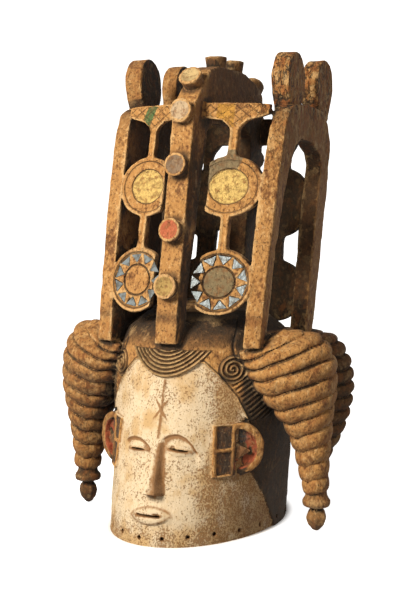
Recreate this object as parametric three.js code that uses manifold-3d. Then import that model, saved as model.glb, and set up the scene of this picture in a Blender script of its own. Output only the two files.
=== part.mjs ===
// Carved Igbo maiden spirit helmet mask: a hollow head under an openwork crest, with four ribbed
// coils of hair. It is one block of wood, with triangular pieces of mirror glass let into two discs.
// Millimetres, +Z up. The face looks along -Y, and heights are counted from the plane of the rim.

import * as THREE from "three";
import { mergeVertices } from "three/addons/utils/BufferGeometryUtils.js";
import Module from "manifold-3d";

const wasm = await Module();
wasm.setup();

// Driving dimensions of the head
const WALL = 10;
const RIM_HALF_WIDTH = 99;
const RIM_FRONT = -160.6;
const RIM_BACK = 132;
const DOME_TOP = 268;
const DOME_TOP_Y = 10;
const CAVITY_TOP = DOME_TOP - 2 * WALL;
const HEAD_SIDES = 28;
const HAIR_PROUD = 3;
const HAIR_HALF_WIDTH = 108;
const SPIRAL_TURN = 0.74;
const SPIRAL_HEIGHT = 199;
const SPIRAL_RADIUS = 16;

// Profiles of the head as [distance, height]: brow, widest hair and dome in that order
const FRONT_PROFILE = [
  [RIM_FRONT, 0], [-155, 36], [-144, 75], [-133, 110], [-121, 152], [-111, 190], [-102, 216],
  [-89, 238], [-62, 256], [-28, 265], [DOME_TOP_Y - 1, DOME_TOP],
];
const BACK_PROFILE = [
  [RIM_BACK, 0], [132, 36], [133, 75], [134, 110], [134, 152], [126, 190], [115, 216],
  [101, 238], [74, 256], [42, 265], [DOME_TOP_Y + 1, DOME_TOP],
];
const WIDTH_PROFILE = [
  [RIM_HALF_WIDTH, 0], [100, 36], [101, 75], [103, 110], [107, 152], [108, 190], [105, 216],
  [95, 238], [69, 256], [38, 265], [1, DOME_TOP],
];

// Driving dimensions of the face
const EYE_HEIGHT = 106;
const EYE_TURN = 0.285;
const EYE_WIDTH = 25;
const EYE_OPEN = 0.12;
const MOUTH_HEIGHT = 35;
const NOSE_TIP_HEIGHT = 54;
const NOSE_BRIDGE_HEIGHT = 116;
const EAR_HEIGHT = 108;
const EAR_HALF_HEIGHT = 33;
const EAR_REACH = 32;
const EAR_THICKNESS = 10;
const EAR_SIDES = 12;

// Driving dimensions of the crest
const CREST_FOOT = 224;
const CENTRE_HALF_WIDTH = 14.2;
const SIDE_ARCH_INNER = 87;
const SIDE_ARCH_THICKNESS = 20;
const SIDE_FLARE = 0.028;
const SIDE_TURN = 0.22;
const FINIAL_DEPTHS = [28, 131];
const FINIAL_INNER = 79;
const FINIAL_THICKNESS = 23;
const FINIAL_TOP = 575;
const FINIAL_HALF_WIDTH = 30;
const FINIAL_HALF_HEIGHT = 34;
const NECK_HEIGHT = 506;
const PANEL_THICKNESS = 11;
const PANEL_SLANT = 0.21;
const DISC_SIDES = 16;
const DISC_FLAT = 29;
const STEM_WIDTH = 10;
const WEB_START = 4;
const WEB_END = 94;
const KNOB_RADIUS = 14.5;
const KNOB_HEIGHT = 10;
const TOP_KNOB_HEIGHT = 14;
const BURST_RAYS = 11;
const RAY_TIP = 0.52;
const RAY_BASE = 0.84;
const RAY_SPREAD = 0.25;
const GLASS_GAP = 0.3;
const GLASS_THICKNESS = 1.6;
const GLASS_POCKET = 2.4;

// Colours and finishes read from the photograph
const WOOD = { color: 0x8a5a2e, roughness: 0.78, metalness: 0 };
const MIRROR = { color: 0x9fb0bd, roughness: 0.12, metalness: 0.9 };

// Solids from three.js geometry

function solidOf(geometry) {
  const bare = geometry.clone();
  bare.deleteAttribute("normal");
  bare.deleteAttribute("uv");
  const merged = mergeVertices(bare, 1e-3);
  return new wasm.Manifold(new wasm.Mesh({
    numProp: 3,
    vertProperties: merged.attributes.position.array,
    triVerts: new Uint32Array(merged.index.array),
  }));
}

// Moves each vertex by a function of its place; a mirrored shape has its faces turned back outwards.
function shaped(geometry, place, mirrored = false) {
  const out = geometry.index ? geometry.toNonIndexed() : geometry.clone();
  const position = out.attributes.position;
  const point = new THREE.Vector3();
  for (let i = 0; i < position.count; i++) {
    point.fromBufferAttribute(position, i);
    const to = place(point);
    position.setXYZ(i, to.x, to.y, to.z);
  }
  if (!mirrored) return solidOf(out);
  const flipped = out.clone();
  for (let i = 0; i < position.count; i += 3) {
    [0, 2, 1].forEach((from, corner) => {
      point.fromBufferAttribute(position, i + from);
      flipped.attributes.position.setXYZ(i + corner, point.x, point.y, point.z);
    });
  }
  return solidOf(flipped);
}

function joined(solids) {
  return solids.reduce((all, next) => all.add(next));
}

function cutBy(solid, cutters) {
  return cutters.reduce((rest, cutter) => rest.subtract(cutter), solid);
}

// A drawing with its holes, all of them anticlockwise, as ExtrudeGeometry needs them.
function outline(points, holes = []) {
  const [edge, ...inside] = [points, ...holes].map((list) => {
    const path = list.map(([u, v]) => new THREE.Vector2(u, v));
    return THREE.ShapeUtils.isClockWise(path) ? path.reverse() : path;
  });
  const shape = new THREE.Shape(edge);
  shape.holes.push(...inside.map((path) => new THREE.Path(path)));
  return shape;
}

function extruded(shape, depth) {
  return new THREE.ExtrudeGeometry(shape, { depth, bevelEnabled: false, curveSegments: 10 });
}

const both = (make) => [1, -1].map((side) => make(side));

// The head as a curved grid

function along(profile, height) {
  const last = profile.length - 1;
  const top = profile.findIndex(([, z]) => z >= height);
  const i = top < 0 ? last : Math.max(top, 1);
  const [d0, z0] = profile[i - 1];
  const [d1, z1] = profile[i];
  return THREE.MathUtils.lerp(d0, d1, (height - z0) / (z1 - z0));
}

// A point of the head's surface: turn is 0 at the face and grows towards +X.
function onHead(turn, height, proud = 0) {
  const front = along(FRONT_PROFILE, height);
  const back = along(BACK_PROFILE, height);
  const half = along(WIDTH_PROFILE, height) + proud;
  const middle = (front + back) / 2;
  const depth = (back - front) / 2 + proud;
  return new THREE.Vector3(half * Math.sin(turn), middle - depth * Math.cos(turn), height);
}

// A lathe of radius 1 whose rings are laid on the head's profiles.
function headSolid(heights, proud, sides) {
  const profile = [[0, heights[0]], ...heights.map((z) => [1, z]), [0, heights.at(-1)]];
  const lathe = new THREE.LatheGeometry(profile.map(([r, z]) => new THREE.Vector2(r, z)), sides);
  return shaped(lathe, ({ x, y, z }) => {
    if (Math.hypot(x, z) < 0.5) return onHead(0, y, proud).setX(0).setY(middleAt(y));
    return onHead(Math.atan2(x, z), y, proud);
  });
}

function middleAt(height) {
  return (along(FRONT_PROFILE, height) + along(BACK_PROFILE, height)) / 2;
}

// A bar of a few sides that lies along a line on the head.
function bead(points, radius) {
  const sides = 4;
  const section = new THREE.Shape(Array.from({ length: sides }, (_, i) => {
    const angle = (2 * Math.PI * i) / sides;
    return new THREE.Vector2(radius * Math.cos(angle), radius * Math.sin(angle));
  }));
  const extrudePath = new THREE.CatmullRomCurve3(points);
  return solidOf(new THREE.ExtrudeGeometry(section, { steps: points.length - 1, extrudePath }));
}

// Head shell

function headShell() {
  const heights = WIDTH_PROFILE.map(([, z]) => z);
  const outer = headSolid(heights, 0, HEAD_SIDES);
  const below = -5;
  const cavity = headSolid([below, 60, 120, 170, 210, 230, CAVITY_TOP], -WALL, HEAD_SIDES / 2);
  return { outer, cavity };
}

// Hair stands a little proud of the white face, behind a line from the brow down past the ear.
function hairCap() {
  const grown = headSolid(WIDTH_PROFILE.map(([, z]) => z), HAIR_PROUD, HEAD_SIDES);
  const region = outline([
    [-130, 196], [-102, 196], [-62, 138], [-28, 134], [-24, 0], [160, 0], [160, 290], [-130, 290],
  ]);
  const block = extruded(region, 260);
  const keep = shaped(block, ({ x, y, z }) => new THREE.Vector3(z - 130, x, y));
  return grown.intersect(keep);
}

// Face

function onFace(across, height, proud) {
  const half = along(WIDTH_PROFILE, height);
  return onHead(Math.asin(across / half), height, proud);
}

function nose() {
  const half = [5, 9, 13.5];
  const proud = [3, 9, 16];
  const heights = [NOSE_BRIDGE_HEIGHT, 82, NOSE_TIP_HEIGHT];
  const block = new THREE.BoxGeometry(2, 2, 2, 2, 1, 2);
  return shaped(block, ({ x, y, z }) => {
    const level = Math.round(1 - z);
    const lift = y < 0 ? proud[level] * (x === 0 ? 1 : 0.35) : -WALL / 2;
    const width = half[level] * (y < 0 && x !== 0 ? 0.8 : 1);
    const lean = level * 1.5;
    return onFace(lean + x * width, heights[level] - (x === 0 ? 0 : 1), lift);
  });
}

function eyeCutters(side) {
  const middle = onHead(side * EYE_TURN, EYE_HEIGHT);
  const slit = new THREE.CylinderGeometry(EYE_WIDTH / 2, EYE_WIDTH / 2, 4 * WALL, 10);
  slit.scale(1, 1, EYE_OPEN);
  slit.rotateZ(0.05 * side);
  slit.translate(middle.x, 0, 0);
  return shaped(slit, ({ x, y, z }) => new THREE.Vector3(x, middle.y + y, EYE_HEIGHT + z));
}

function eyeHollow(side) {
  const middle = onHead(side * EYE_TURN, EYE_HEIGHT + 3, 14);
  const hollow = new THREE.SphereGeometry(18, 10, 6);
  hollow.scale(1, 0.9, 0.6);
  hollow.translate(middle.x, middle.y, middle.z);
  return solidOf(hollow);
}

function eyeLid(side) {
  const height = EYE_HEIGHT + 4;
  const rise = 3;
  const count = 4;
  const points = Array.from({ length: count + 1 }, (_, i) => {
    const share = (2 * i) / count - 1;
    const across = side * 27.5 + share * (EYE_WIDTH / 2 + 2);
    return onFace(across, height + rise * (1 - share * share), -1.5);
  });
  return bead(points, 2.6);
}

function lips() {
  return [4, -4.5].map((offset) => {
    const points = [-15, 0, 15].map((across) => {
      const share = across / 15;
      return onFace(across, MOUTH_HEIGHT + offset * (1 - 0.7 * share * share), 1.5);
    });
    return bead(points, 3.6);
  });
}

function mouthSlit() {
  const slit = new THREE.BoxGeometry(25, 4 * WALL, 2.2);
  slit.translate(0, along(FRONT_PROFILE, MOUTH_HEIGHT), MOUTH_HEIGHT);
  return solidOf(slit);
}

function foreheadRidge() {
  return bead([118, 135, 155, 172, 190].map((z) => onFace(0, z, 0)), 2);
}

// A cupped ear: a disc stood across the side of the head, hollowed on the side that faces forward.
function ear(side) {
  const root = onHead(0.93, EAR_HEIGHT);
  const reach = new THREE.Vector3(0.85, 0.52, 0);
  const normal = new THREE.Vector3(0.52, -0.85, 0);
  const place = ({ x, y, z }) => {
    const at = root.clone().addScaledVector(reach, x).addScaledVector(normal, z);
    return new THREE.Vector3(side * at.x, at.y, EAR_HEIGHT + y);
  };
  const plate = new THREE.CylinderGeometry(1, 1, EAR_THICKNESS, EAR_SIDES);
  plate.rotateX(Math.PI / 2);
  plate.scale(EAR_REACH, EAR_HALF_HEIGHT, 1);
  const hollow = new THREE.CylinderGeometry(1, 0.8, EAR_THICKNESS, EAR_SIDES);
  hollow.rotateX(Math.PI / 2);
  hollow.scale(EAR_REACH - 8, EAR_HALF_HEIGHT - 8, 1);
  hollow.translate(-2, 0, 4);
  const lobe = new THREE.SphereGeometry(10, 6, 5);
  lobe.scale(1, 1, 0.7);
  lobe.translate(9, -4, 0);
  const cupped = shaped(plate, place, side < 0).subtract(shaped(hollow, place, side < 0));
  return cupped.add(shaped(lobe, place, side < 0));
}

// Two sunk panels in a raised frame between the eye and the ear
function templeBlock(side) {
  const at = (turn, height, proud) => onHead(side * turn, height, proud);
  const plate = (turns, heights, depths) => {
    const block = new THREE.BoxGeometry(1, 1, 1, 3, 1, 1);
    return shaped(block, ({ x, y, z }) => {
      const turn = THREE.MathUtils.lerp(turns[0], turns[1], x + 0.5);
      const height = THREE.MathUtils.lerp(heights[0], heights[1], z + 0.5);
      return at(turn, height, y < 0 ? depths[1] : depths[0]);
    }, side < 0);
  };
  const frame = plate([0.66, 0.88], [75, 139], [-4, 3.5]);
  const panels = [[79, 104], [110, 135]].map((span) => plate([0.7, 0.84], span, [1, 6]));
  return cutBy(frame, panels);
}

// Hair carving

function scallop() {
  const rows = 4;
  return Array.from({ length: rows }, (_, row) => {
    const half = 0.56 - 0.11 * row;
    const low = 192 + 7 * row;
    const count = 6;
    const points = Array.from({ length: count + 1 }, (_, i) => {
      const share = (2 * i) / count - 1;
      return onHead(half * share, low + (220 - low) * share * share, HAIR_PROUD);
    });
    return bead(points, 2);
  });
}

function spiral(side) {
  const turns = 2;
  const count = 13;
  const points = Array.from({ length: count + 1 }, (_, i) => {
    const angle = (2 * Math.PI * turns * i) / count;
    const radius = THREE.MathUtils.lerp(2.5, SPIRAL_RADIUS, i / count);
    const turn = SPIRAL_TURN + (radius * Math.cos(angle)) / HAIR_HALF_WIDTH;
    return onHead(side * turn, SPIRAL_HEIGHT + radius * Math.sin(angle), HAIR_PROUD);
  });
  return bead(points, 1.8);
}

function combLines(side) {
  const rows = 3;
  return Array.from({ length: rows }, (_, row) => {
    const start = 0.84 + 0.06 * row;
    const points = Array.from({ length: 3 }, (_, i) => {
      return onHead(side * (start + 0.09 * i), 176 + 7 * row - 14 * i, HAIR_PROUD);
    });
    return bead(points, 1.8);
  });
}

// Coils of hair

// One coil lies in an upright plane. Its ribs are ellipses whose ends run down two curves, inner and
// outer, given as [reach from the root, height].
const FRONT_COIL = {
  root: [88, -70],
  bearing: 35,
  inner: [[-10, 216], [-2, 202], [7, 182], [27, 154], [46, 128], [58, 101], [65, 73], [71, 47]],
  outer: [[46, 244], [84, 238], [102, 212], [106, 180], [103, 152], [100, 118], [98, 84], [98, 53]],
  girth: [8, 29, 38, 37, 32, 26, 20, 16],
};
const REAR_COIL = {
  root: [72, 92],
  bearing: 22,
  inner: [[-24, 214], [-14, 190], [-5, 168], [2, 146], [9, 122], [16, 96], [21, 72], [25, 50]],
  outer: [[30, 230], [64, 220], [81, 196], [88, 168], [88, 140], [82, 112], [71, 84], [57, 56]],
  girth: [26, 29, 28, 25, 21, 17, 15, 13],
};
const RIBS = 11;
const RIB_DEPTH = 4;
const COIL_SIDES = 10;
const RINGS_PER_RIB = 2;

function coil(form, side) {
  const { root, bearing, inner, outer, girth } = form;
  const angle = THREE.MathUtils.degToRad(bearing);
  const curve = (points) => new THREE.SplineCurve(points.map(([u, v]) => new THREE.Vector2(u, v)));
  const innerCurve = curve(inner);
  const outerCurve = curve(outer);
  const girthCurve = curve(girth.map((value, i) => [i, value]));
  const rings = RINGS_PER_RIB * RIBS;
  const stations = Array.from({ length: rings + 1 }, (_, i) => {
    return { share: i / rings, swell: i % RINGS_PER_RIB === 0 ? 0 : RIB_DEPTH };
  });
  const profile = [[0, 0], ...stations.map((_, i) => [1, i]), [0, stations.length - 1]];
  const lathe = new THREE.LatheGeometry(
    profile.map(([r, at]) => new THREE.Vector2(r, -at)).reverse(), COIL_SIDES);
  return shaped(lathe, ({ x, y, z }) => {
    const { share, swell } = stations[Math.round(-y)];
    const a = innerCurve.getPoint(share);
    const b = outerCurve.getPoint(share);
    const middle = a.clone().add(b).multiplyScalar(0.5);
    const half = b.clone().sub(a).multiplyScalar(0.5);
    const grow = 1 + (swell - RIB_DEPTH / 2) / half.length();
    const reach = middle.x + half.x * x * grow;
    const height = middle.y + half.y * x * grow;
    const thick = (girthCurve.getPoint(share).y + swell - RIB_DEPTH / 2) * z;
    return new THREE.Vector3(
      side * (root[0] + reach * Math.cos(angle) + thick * Math.sin(angle)),
      root[1] + reach * Math.sin(angle) - thick * Math.cos(angle),
      height);
  }, side < 0);
}

// A flared collar and a leaf-shaped peg finish each coil.
function coilEnd(form, side) {
  const { root, bearing, inner, outer } = form;
  const angle = THREE.MathUtils.degToRad(bearing);
  const reach = (inner.at(-1)[0] + outer.at(-1)[0]) / 2;
  const top = (inner.at(-1)[1] + outer.at(-1)[1]) / 2 + 4;
  const profile = [[0, top], [13, top], [13, 44], [17, 39], [16, 33], [8, 30], [12, 17], [4, 1.5],
    [0, 1.5]];
  const points = profile.map(([r, z]) => new THREE.Vector2(r, z)).reverse();
  const lathe = new THREE.LatheGeometry(points, 6);
  lathe.rotateX(Math.PI / 2);
  const x = root[0] + reach * Math.cos(angle);
  const y = root[1] + reach * Math.sin(angle);
  return shaped(lathe, (p) => new THREE.Vector3(side * (x + p.x), y + p.y, p.z), side < 0);
}

// Crest arches, drawn from the side as [depth, height]

function sideways(shape, inner, thickness, side, flare, turn) {
  return shaped(extruded(shape, thickness), ({ x, y, z }) => {
    const across = inner + z + flare * (y - CREST_FOOT);
    return new THREE.Vector3(side * across, x - turn * (inner + thickness - across), y);
  }, side < 0);
}

// The arch on the mask's left has one tall window. Its twin has a deeper front leg and a bar in
// the middle, which the dark gaps behind the front openings show.
function sideArch(side) {
  const oneWindow = [[
    [-59, 240], [-51, 280], [-38, 338], [-18, 396], [4, 446], [16, 462], [38, 470], [74, 467],
    [104, 454], [113, 440], [101, 395], [91, 332], [79, 269], [74, 226], [20, 240],
  ]];
  const twoWindows = [
    [[-18, 262], [-12, 290], [1, 350], [14, 410], [22, 450], [34, 464], [46, 464], [40, 420], [26, 350],
      [16, 290], [10, 262]],
    [[48, 240], [54, 290], [66, 350], [76, 420], [80, 464], [94, 459], [112, 442], [101, 395], [91, 332],
      [79, 269], [74, 230]],
  ];
  const arch = outline([
    [-81, CREST_FOOT], [-71, 280], [-59, 338], [-45, 396], [-28, 456], [-17, 488], [-8, 502], [8, 510],
    [60, 513], [110, 507], [132, 492], [146, 470], [136, 395], [123, 330], [109, 266], [98, 222],
    [96, 190], [40, 190], [-20, 200], [-52, CREST_FOOT],
  ], side > 0 ? oneWindow : twoWindows);
  return sideways(arch, SIDE_ARCH_INNER, SIDE_ARCH_THICKNESS, side, SIDE_FLARE, SIDE_TURN);
}

// A round paddle on a short neck
function finial(side, depth) {
  const centre = FINIAL_TOP - FINIAL_HALF_HEIGHT;
  const shoulder = [27, centre - 18];
  const neck = [17, NECK_HEIGHT];
  const foot = [16, NECK_HEIGHT - 10];
  const left = [foot, neck, shoulder].map(([u, v]) => [-u, v]);
  const steps = 10;
  const start = Math.PI * 1.16;
  const head = Array.from({ length: steps + 1 }, (_, i) => {
    const angle = start - (i / steps) * (2 * start - Math.PI);
    return [FINIAL_HALF_WIDTH * Math.cos(angle), centre + FINIAL_HALF_HEIGHT * Math.sin(angle)];
  });
  const shape = outline([...left, ...head, shoulder, neck, foot].map(([u, v]) => [u + depth, v]));
  return sideways(shape, FINIAL_INNER, FINIAL_THICKNESS, side, SIDE_FLARE, 0);
}

function centreArch() {
  const arch = outline([
    [-111, 228], [-104, 283], [-92, 338], [-72, 440], [-62, 490], [-55, 512], [-12, 554], [14, 560],
    [100, 558], [134, 547], [154, 533], [161, 512], [152, 449], [134, 338], [118, 250], [112, 200],
    [40, 215], [-30, 215], [-82, 228],
  ], [[
    [-83, 250], [-76, 290], [-60, 345], [-34, 440], [-22, 478], [-4, 490], [98, 490], [116, 476],
    [112, 440], [98, 345], [86, 290], [80, 248], [20, 260], [-50, 255],
  ]]);
  return sideways(arch, -CENTRE_HALF_WIDTH, 2 * CENTRE_HALF_WIDTH, 1, 0, 0);
}

// A knob is a short flared drum with a dished face, at [depth, height]. A tilt of 0 points it
// forwards, 90 up and 180 backwards. Its foot is sunk in the arch.
function knob([depth, height], tilt, proud = KNOB_HEIGHT) {
  const sunk = 2.5;
  const foot = -6;
  const radius = KNOB_RADIUS;
  const profile = [[0, foot], [radius - 3, foot], [radius, proud], [radius - 4, proud], [0, proud - sunk]];
  const lathe = new THREE.LatheGeometry(profile.map(([r, z]) => new THREE.Vector2(r, z)), 9);
  lathe.rotateX(Math.PI - THREE.MathUtils.degToRad(tilt));
  lathe.translate(0, depth, height);
  return solidOf(lathe);
}

function knobs() {
  const front = [[-103, 294], [-91, 360], [-75, 436], [-60, 500]].map((at) => knob(at, 12));
  const back = [[129, 310], [142, 380], [153, 450]].map((at) => knob(at, 192));
  const top = [[-32, 536, 42], [34, 560, 90], [88, 559, 92], [150, 538, 132]].map(
    ([depth, height, tilt]) => knob([depth, height], tilt, TOP_KNOB_HEIGHT));
  return [...front, ...back, ...top];
}

// Openwork panels, drawn from the front as [across, height]

// A panel leans back as it rises from its level. Its web hangs from the top by three depths: inner end,
// middle and outer end.
const panelFront = {
  depth: -75, level: 300, lean: 0.26, sign: 1, centre: 54, top: 513, web: [17, 32, 16], stem: [49, 59],
  upper: { level: 412, across: 40.5, up: 36 }, lower: { level: 300, across: 40, up: 38 },
};
const panelBack = {
  depth: 101, level: 278, lean: 0.21, sign: -1, centre: 57, top: 503, web: [36, 50, 16], stem: [37, 62],
  upper: { level: 391, across: 40, up: 44 }, lower: { level: 278, across: 40, up: 39 },
};

// Lays a flat drawing into a panel: x across, y up, z out of the panel's face.
function inPanel(geometry, panel, side) {
  const { depth, level, lean, sign, centre } = panel;
  return shaped(geometry, ({ x, y, z }) => {
    const back = lean * (y - level) + sign * PANEL_SLANT * (x - centre);
    return new THREE.Vector3(side * x, depth + back - sign * z, y);
  }, (side < 0) !== (sign < 0));
}

const HALF_THICK = PANEL_THICKNESS / 2;

function disc(panel, { level, across, up }, side, profile) {
  const points = profile.map(([r, z]) => new THREE.Vector2(r, z));
  const lathe = new THREE.LatheGeometry(points, DISC_SIDES);
  lathe.rotateX(Math.PI / 2);
  lathe.scale(across, up, 1);
  lathe.translate(panel.centre, level, 0);
  const round = inPanel(lathe, panel, side);
  if (panel.sign < 0) return round;
  const trim = new THREE.BoxGeometry(2 * DISC_FLAT, 100, 2 * up + 10);
  trim.translate(0, panel.depth + panel.lean * (level - panel.level), level);
  return round.subtract(solidOf(trim));
}

function upperDisc(panel, side) {
  const edge = [[0, -HALF_THICK], [1, -HALF_THICK], [1, HALF_THICK]];
  const dished = [[0.87, HALF_THICK], [0.87, HALF_THICK - 2], [0.56, HALF_THICK - 2],
    [0.56, HALF_THICK - 4], [0, HALF_THICK - 4]];
  const face = panel.sign > 0 ? dished : [[0, HALF_THICK]];
  return disc(panel, panel.upper, side, [...edge, ...face]);
}

function lowerDisc(panel, side) {
  const edge = [[0, -HALF_THICK], [1, -HALF_THICK], [1, HALF_THICK]];
  const dished = [[0.88, HALF_THICK], [0.88, HALF_THICK - 2], [0, HALF_THICK - 2]];
  const face = panel.sign > 0 ? dished : [[0, HALF_THICK]];
  const plate = disc(panel, panel.lower, side, [...edge, ...face]);
  return panel.sign > 0 ? cutBy(plate, burst(panel, side, GLASS_POCKET, 0)) : plate;
}

// The triangular pockets of the sunburst, or the pieces of glass that lie in them
function burst(panel, side, thickness, gap) {
  const { level, across, up } = panel.lower;
  const bottom = HALF_THICK - 2 - GLASS_POCKET + gap;
  const inset = 2 * gap;
  return Array.from({ length: BURST_RAYS }, (_, i) => {
    const middle = (2 * Math.PI * (i + 0.5)) / BURST_RAYS;
    const corner = (share, angle) => [
      panel.centre + across * share * Math.cos(angle), level + up * share * Math.sin(angle),
    ];
    const spread = RAY_SPREAD - inset / across;
    const outer = RAY_BASE - inset / across;
    const shape = outline([
      corner(RAY_TIP + (2 * inset) / across, middle),
      corner(outer, middle - spread),
      corner(outer, middle + spread),
    ]);
    const prism = extruded(shape, gap > 0 ? thickness : thickness + 2);
    prism.translate(0, 0, bottom);
    return inPanel(prism, panel, side);
  });
}

function panelWork(panel, side) {
  const { centre, top, upper, lower } = panel;
  const bar = (points) => {
    const shape = extruded(outline(points), PANEL_THICKNESS);
    shape.translate(0, 0, -HALF_THICK);
    return inPanel(shape, panel, side);
  };
  const stem = (left, right, low, high) => bar([[left, low], [right, low], [right, high], [left, high]]);
  const half = STEM_WIDTH / 2;
  const overlap = 4;
  const [innerDrop, middleDrop, outerDrop] = panel.web;
  const shoulder = top - 0.7 * middleDrop;
  const web = bar([
    [centre - half, top - middleDrop], [centre + half, top - middleDrop], [centre + 3 * half, shoulder],
    [WEB_END, top - outerDrop], [WEB_END, top - 2], [WEB_START, top], [WEB_START, top - innerDrop],
    [centre - 3 * half, shoulder],
  ]);
  return [
    web,
    stem(centre - half, centre + half, upper.level + upper.up - overlap, top - middleDrop + overlap),
    stem(...panel.stem, lower.level + lower.up - overlap, upper.level - upper.up + overlap),
    upperDisc(panel, side),
    lowerDisc(panel, side),
  ];
}

// The whole carving

function carving() {
  const { outer, cavity } = headShell();
  const features = joined([outer, hairCap()]);
  const hollowed = cutBy(features, both(eyeHollow));
  const details = joined([
    hollowed, nose(), ...lips(), foreheadRidge(), ...both(ear), ...both(templeBlock),
    ...both(eyeLid),
    ...scallop(), ...both(spiral), ...both(combLines).flat(),
    ...both((side) => coil(FRONT_COIL, side)), ...both((side) => coil(REAR_COIL, side)),
    ...both((side) => coilEnd(FRONT_COIL, side)), ...both((side) => coilEnd(REAR_COIL, side)),
    ...both(sideArch), centreArch(), ...knobs(),
    ...FINIAL_DEPTHS.flatMap((depth) => both((side) => finial(side, depth))),
    ...both((side) => joined(panelWork(panelFront, side))),
    ...both((side) => joined(panelWork(panelBack, side))),
  ]);
  return cutBy(details, [cavity, mouthSlit(), ...both(eyeCutters)]);
}

function meshOf(name, solid, finish) {
  const { vertProperties, triVerts, numProp } = solid.getMesh();
  const positions = new Float32Array((vertProperties.length / numProp) * 3);
  for (let i = 0; i < positions.length / 3; i++) {
    positions.set(vertProperties.subarray(i * numProp, i * numProp + 3), i * 3);
  }
  const geometry = new THREE.BufferGeometry();
  geometry.setAttribute("position", new THREE.BufferAttribute(positions, 3));
  geometry.setIndex(new THREE.BufferAttribute(triVerts, 1));
  geometry.computeVertexNormals();
  const mesh = new THREE.Mesh(geometry, new THREE.MeshStandardMaterial(finish));
  mesh.name = name;
  return mesh;
}

const mask = new THREE.Group();
mask.add(meshOf("carved_mask", carving(), WOOD));
both((side) => {
  const hand = side > 0 ? "left" : "right";
  burst(panelFront, side, GLASS_THICKNESS, GLASS_GAP).forEach((piece, i) => {
    mask.add(meshOf(`mirror_${hand}_${i + 1}`, piece, MIRROR));
  });
});

// The origin is under the middle of the whole, in the plane of the rim.
const bounds = new THREE.Box3().setFromObject(mask);
mask.position.y = -(bounds.min.y + bounds.max.y) / 2;

export default mask;
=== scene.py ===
"""Dresses the carved helmet mask: one block of old painted wood, mirror glass in two discs, a plain studio.

The carving's lengths are in millimetres until its mesh is made; the scene is in metres, as the frame is.
"""

import logging
import math
from collections.abc import Callable, Iterable, Sequence
from dataclasses import dataclass, field
from enum import Enum

import bpy
import numpy as np
from mathutils import Matrix, Vector


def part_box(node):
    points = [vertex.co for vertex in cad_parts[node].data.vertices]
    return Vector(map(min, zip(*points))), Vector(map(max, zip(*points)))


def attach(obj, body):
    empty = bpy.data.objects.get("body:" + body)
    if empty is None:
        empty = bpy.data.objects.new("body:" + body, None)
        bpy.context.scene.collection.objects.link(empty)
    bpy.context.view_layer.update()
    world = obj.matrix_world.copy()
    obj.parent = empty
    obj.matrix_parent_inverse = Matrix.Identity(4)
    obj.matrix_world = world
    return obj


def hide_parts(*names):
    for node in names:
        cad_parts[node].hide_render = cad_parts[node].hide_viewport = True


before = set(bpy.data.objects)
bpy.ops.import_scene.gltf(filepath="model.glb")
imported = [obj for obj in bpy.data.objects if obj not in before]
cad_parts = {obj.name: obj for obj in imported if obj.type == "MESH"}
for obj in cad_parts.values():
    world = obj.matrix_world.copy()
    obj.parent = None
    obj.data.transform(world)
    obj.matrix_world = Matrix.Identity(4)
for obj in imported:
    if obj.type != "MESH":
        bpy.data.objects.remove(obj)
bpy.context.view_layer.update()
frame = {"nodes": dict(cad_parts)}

log = logging.getLogger("mask")

Array = np.ndarray
Pair = tuple[float, float]
Triple = tuple[float, float, float]
Colour = tuple[float, float, float]
Outline = Sequence[Pair]

MM = 0.001
CARVED_NODE = "carved_mask"
CARVED_SLOT = "carved_wood"
BODY = "root"
SIDES = (1, -1)

# Spacing of the grid that the carving is worked out on, and the mesh's most triangles
PITCH = 1.3
MOST_TRIANGLES = 190_000

# Distance in the empty grid, height where the head's finish ends, and the distance given outside a paint
FAR = 40.0
HEAD_TOP = 262.0
OUTSIDE = -20.0


# Sums on arrays

def smoothstep(low: float, high: float, value: Array) -> Array:
    """Rises smoothly from 0 at low to 1 at high."""
    share = np.clip((value - low) / (high - low), 0, 1)
    return share * share * (3 - 2 * share)


def bell(value: Array, width: float) -> Array:
    """1 where the value is 0, falling smoothly to 0 at the width."""
    share = np.clip(1 - np.abs(value) / width, 0, 1)
    return share * share * (3 - 2 * share)


def soft_union(a: Array, b: Array, blend: float) -> Array:
    """Joins two distance fields with a fillet.

    Args:
        a: distances to the first shape.
        b: distances to the second shape.
        blend: reach of the fillet.

    Returns:
        Distances to both together.
    """
    if blend <= 0:
        return np.minimum(a, b)
    share = np.maximum(blend - np.abs(a - b), 0) / blend
    return np.minimum(a, b) - share * share * (blend / 4)


def soft_cut(a: Array, b: Array, blend: float) -> Array:
    """Takes shape b out of shape a with a worn edge."""
    return -soft_union(-a, b, blend)


def edged(side: Array, face: Array, radius: float) -> Array:
    """Where a side meets a face, with the edge between them worn round.

    Args:
        side: distances to the side.
        face: distances to the face.
        radius: radius of the worn edge.

    Returns:
        Distances to the solid inside both.
    """
    out = np.hypot(np.maximum(side + radius, 0), np.maximum(face + radius, 0))
    return out + np.minimum(np.maximum(side, face) + radius, 0) - radius


def to_line(x: Array, y: Array, points: Outline) -> Array:
    """Distance from places in a plane to an open line of points.

    Args:
        x, y: the places.
        points: the line's corners.

    Returns:
        Distances.
    """
    nearest = np.full(np.broadcast(x, y).shape, 1e9, np.float32)
    for (ax, ay), (bx, by) in zip(points, points[1:]):
        dx, dy = bx - ax, by - ay
        share = np.clip(((x - ax) * dx + (y - ay) * dy) / (dx * dx + dy * dy), 0, 1)
        nearest = np.minimum(nearest, np.hypot(x - ax - share * dx, y - ay - share * dy))
    return nearest


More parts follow.
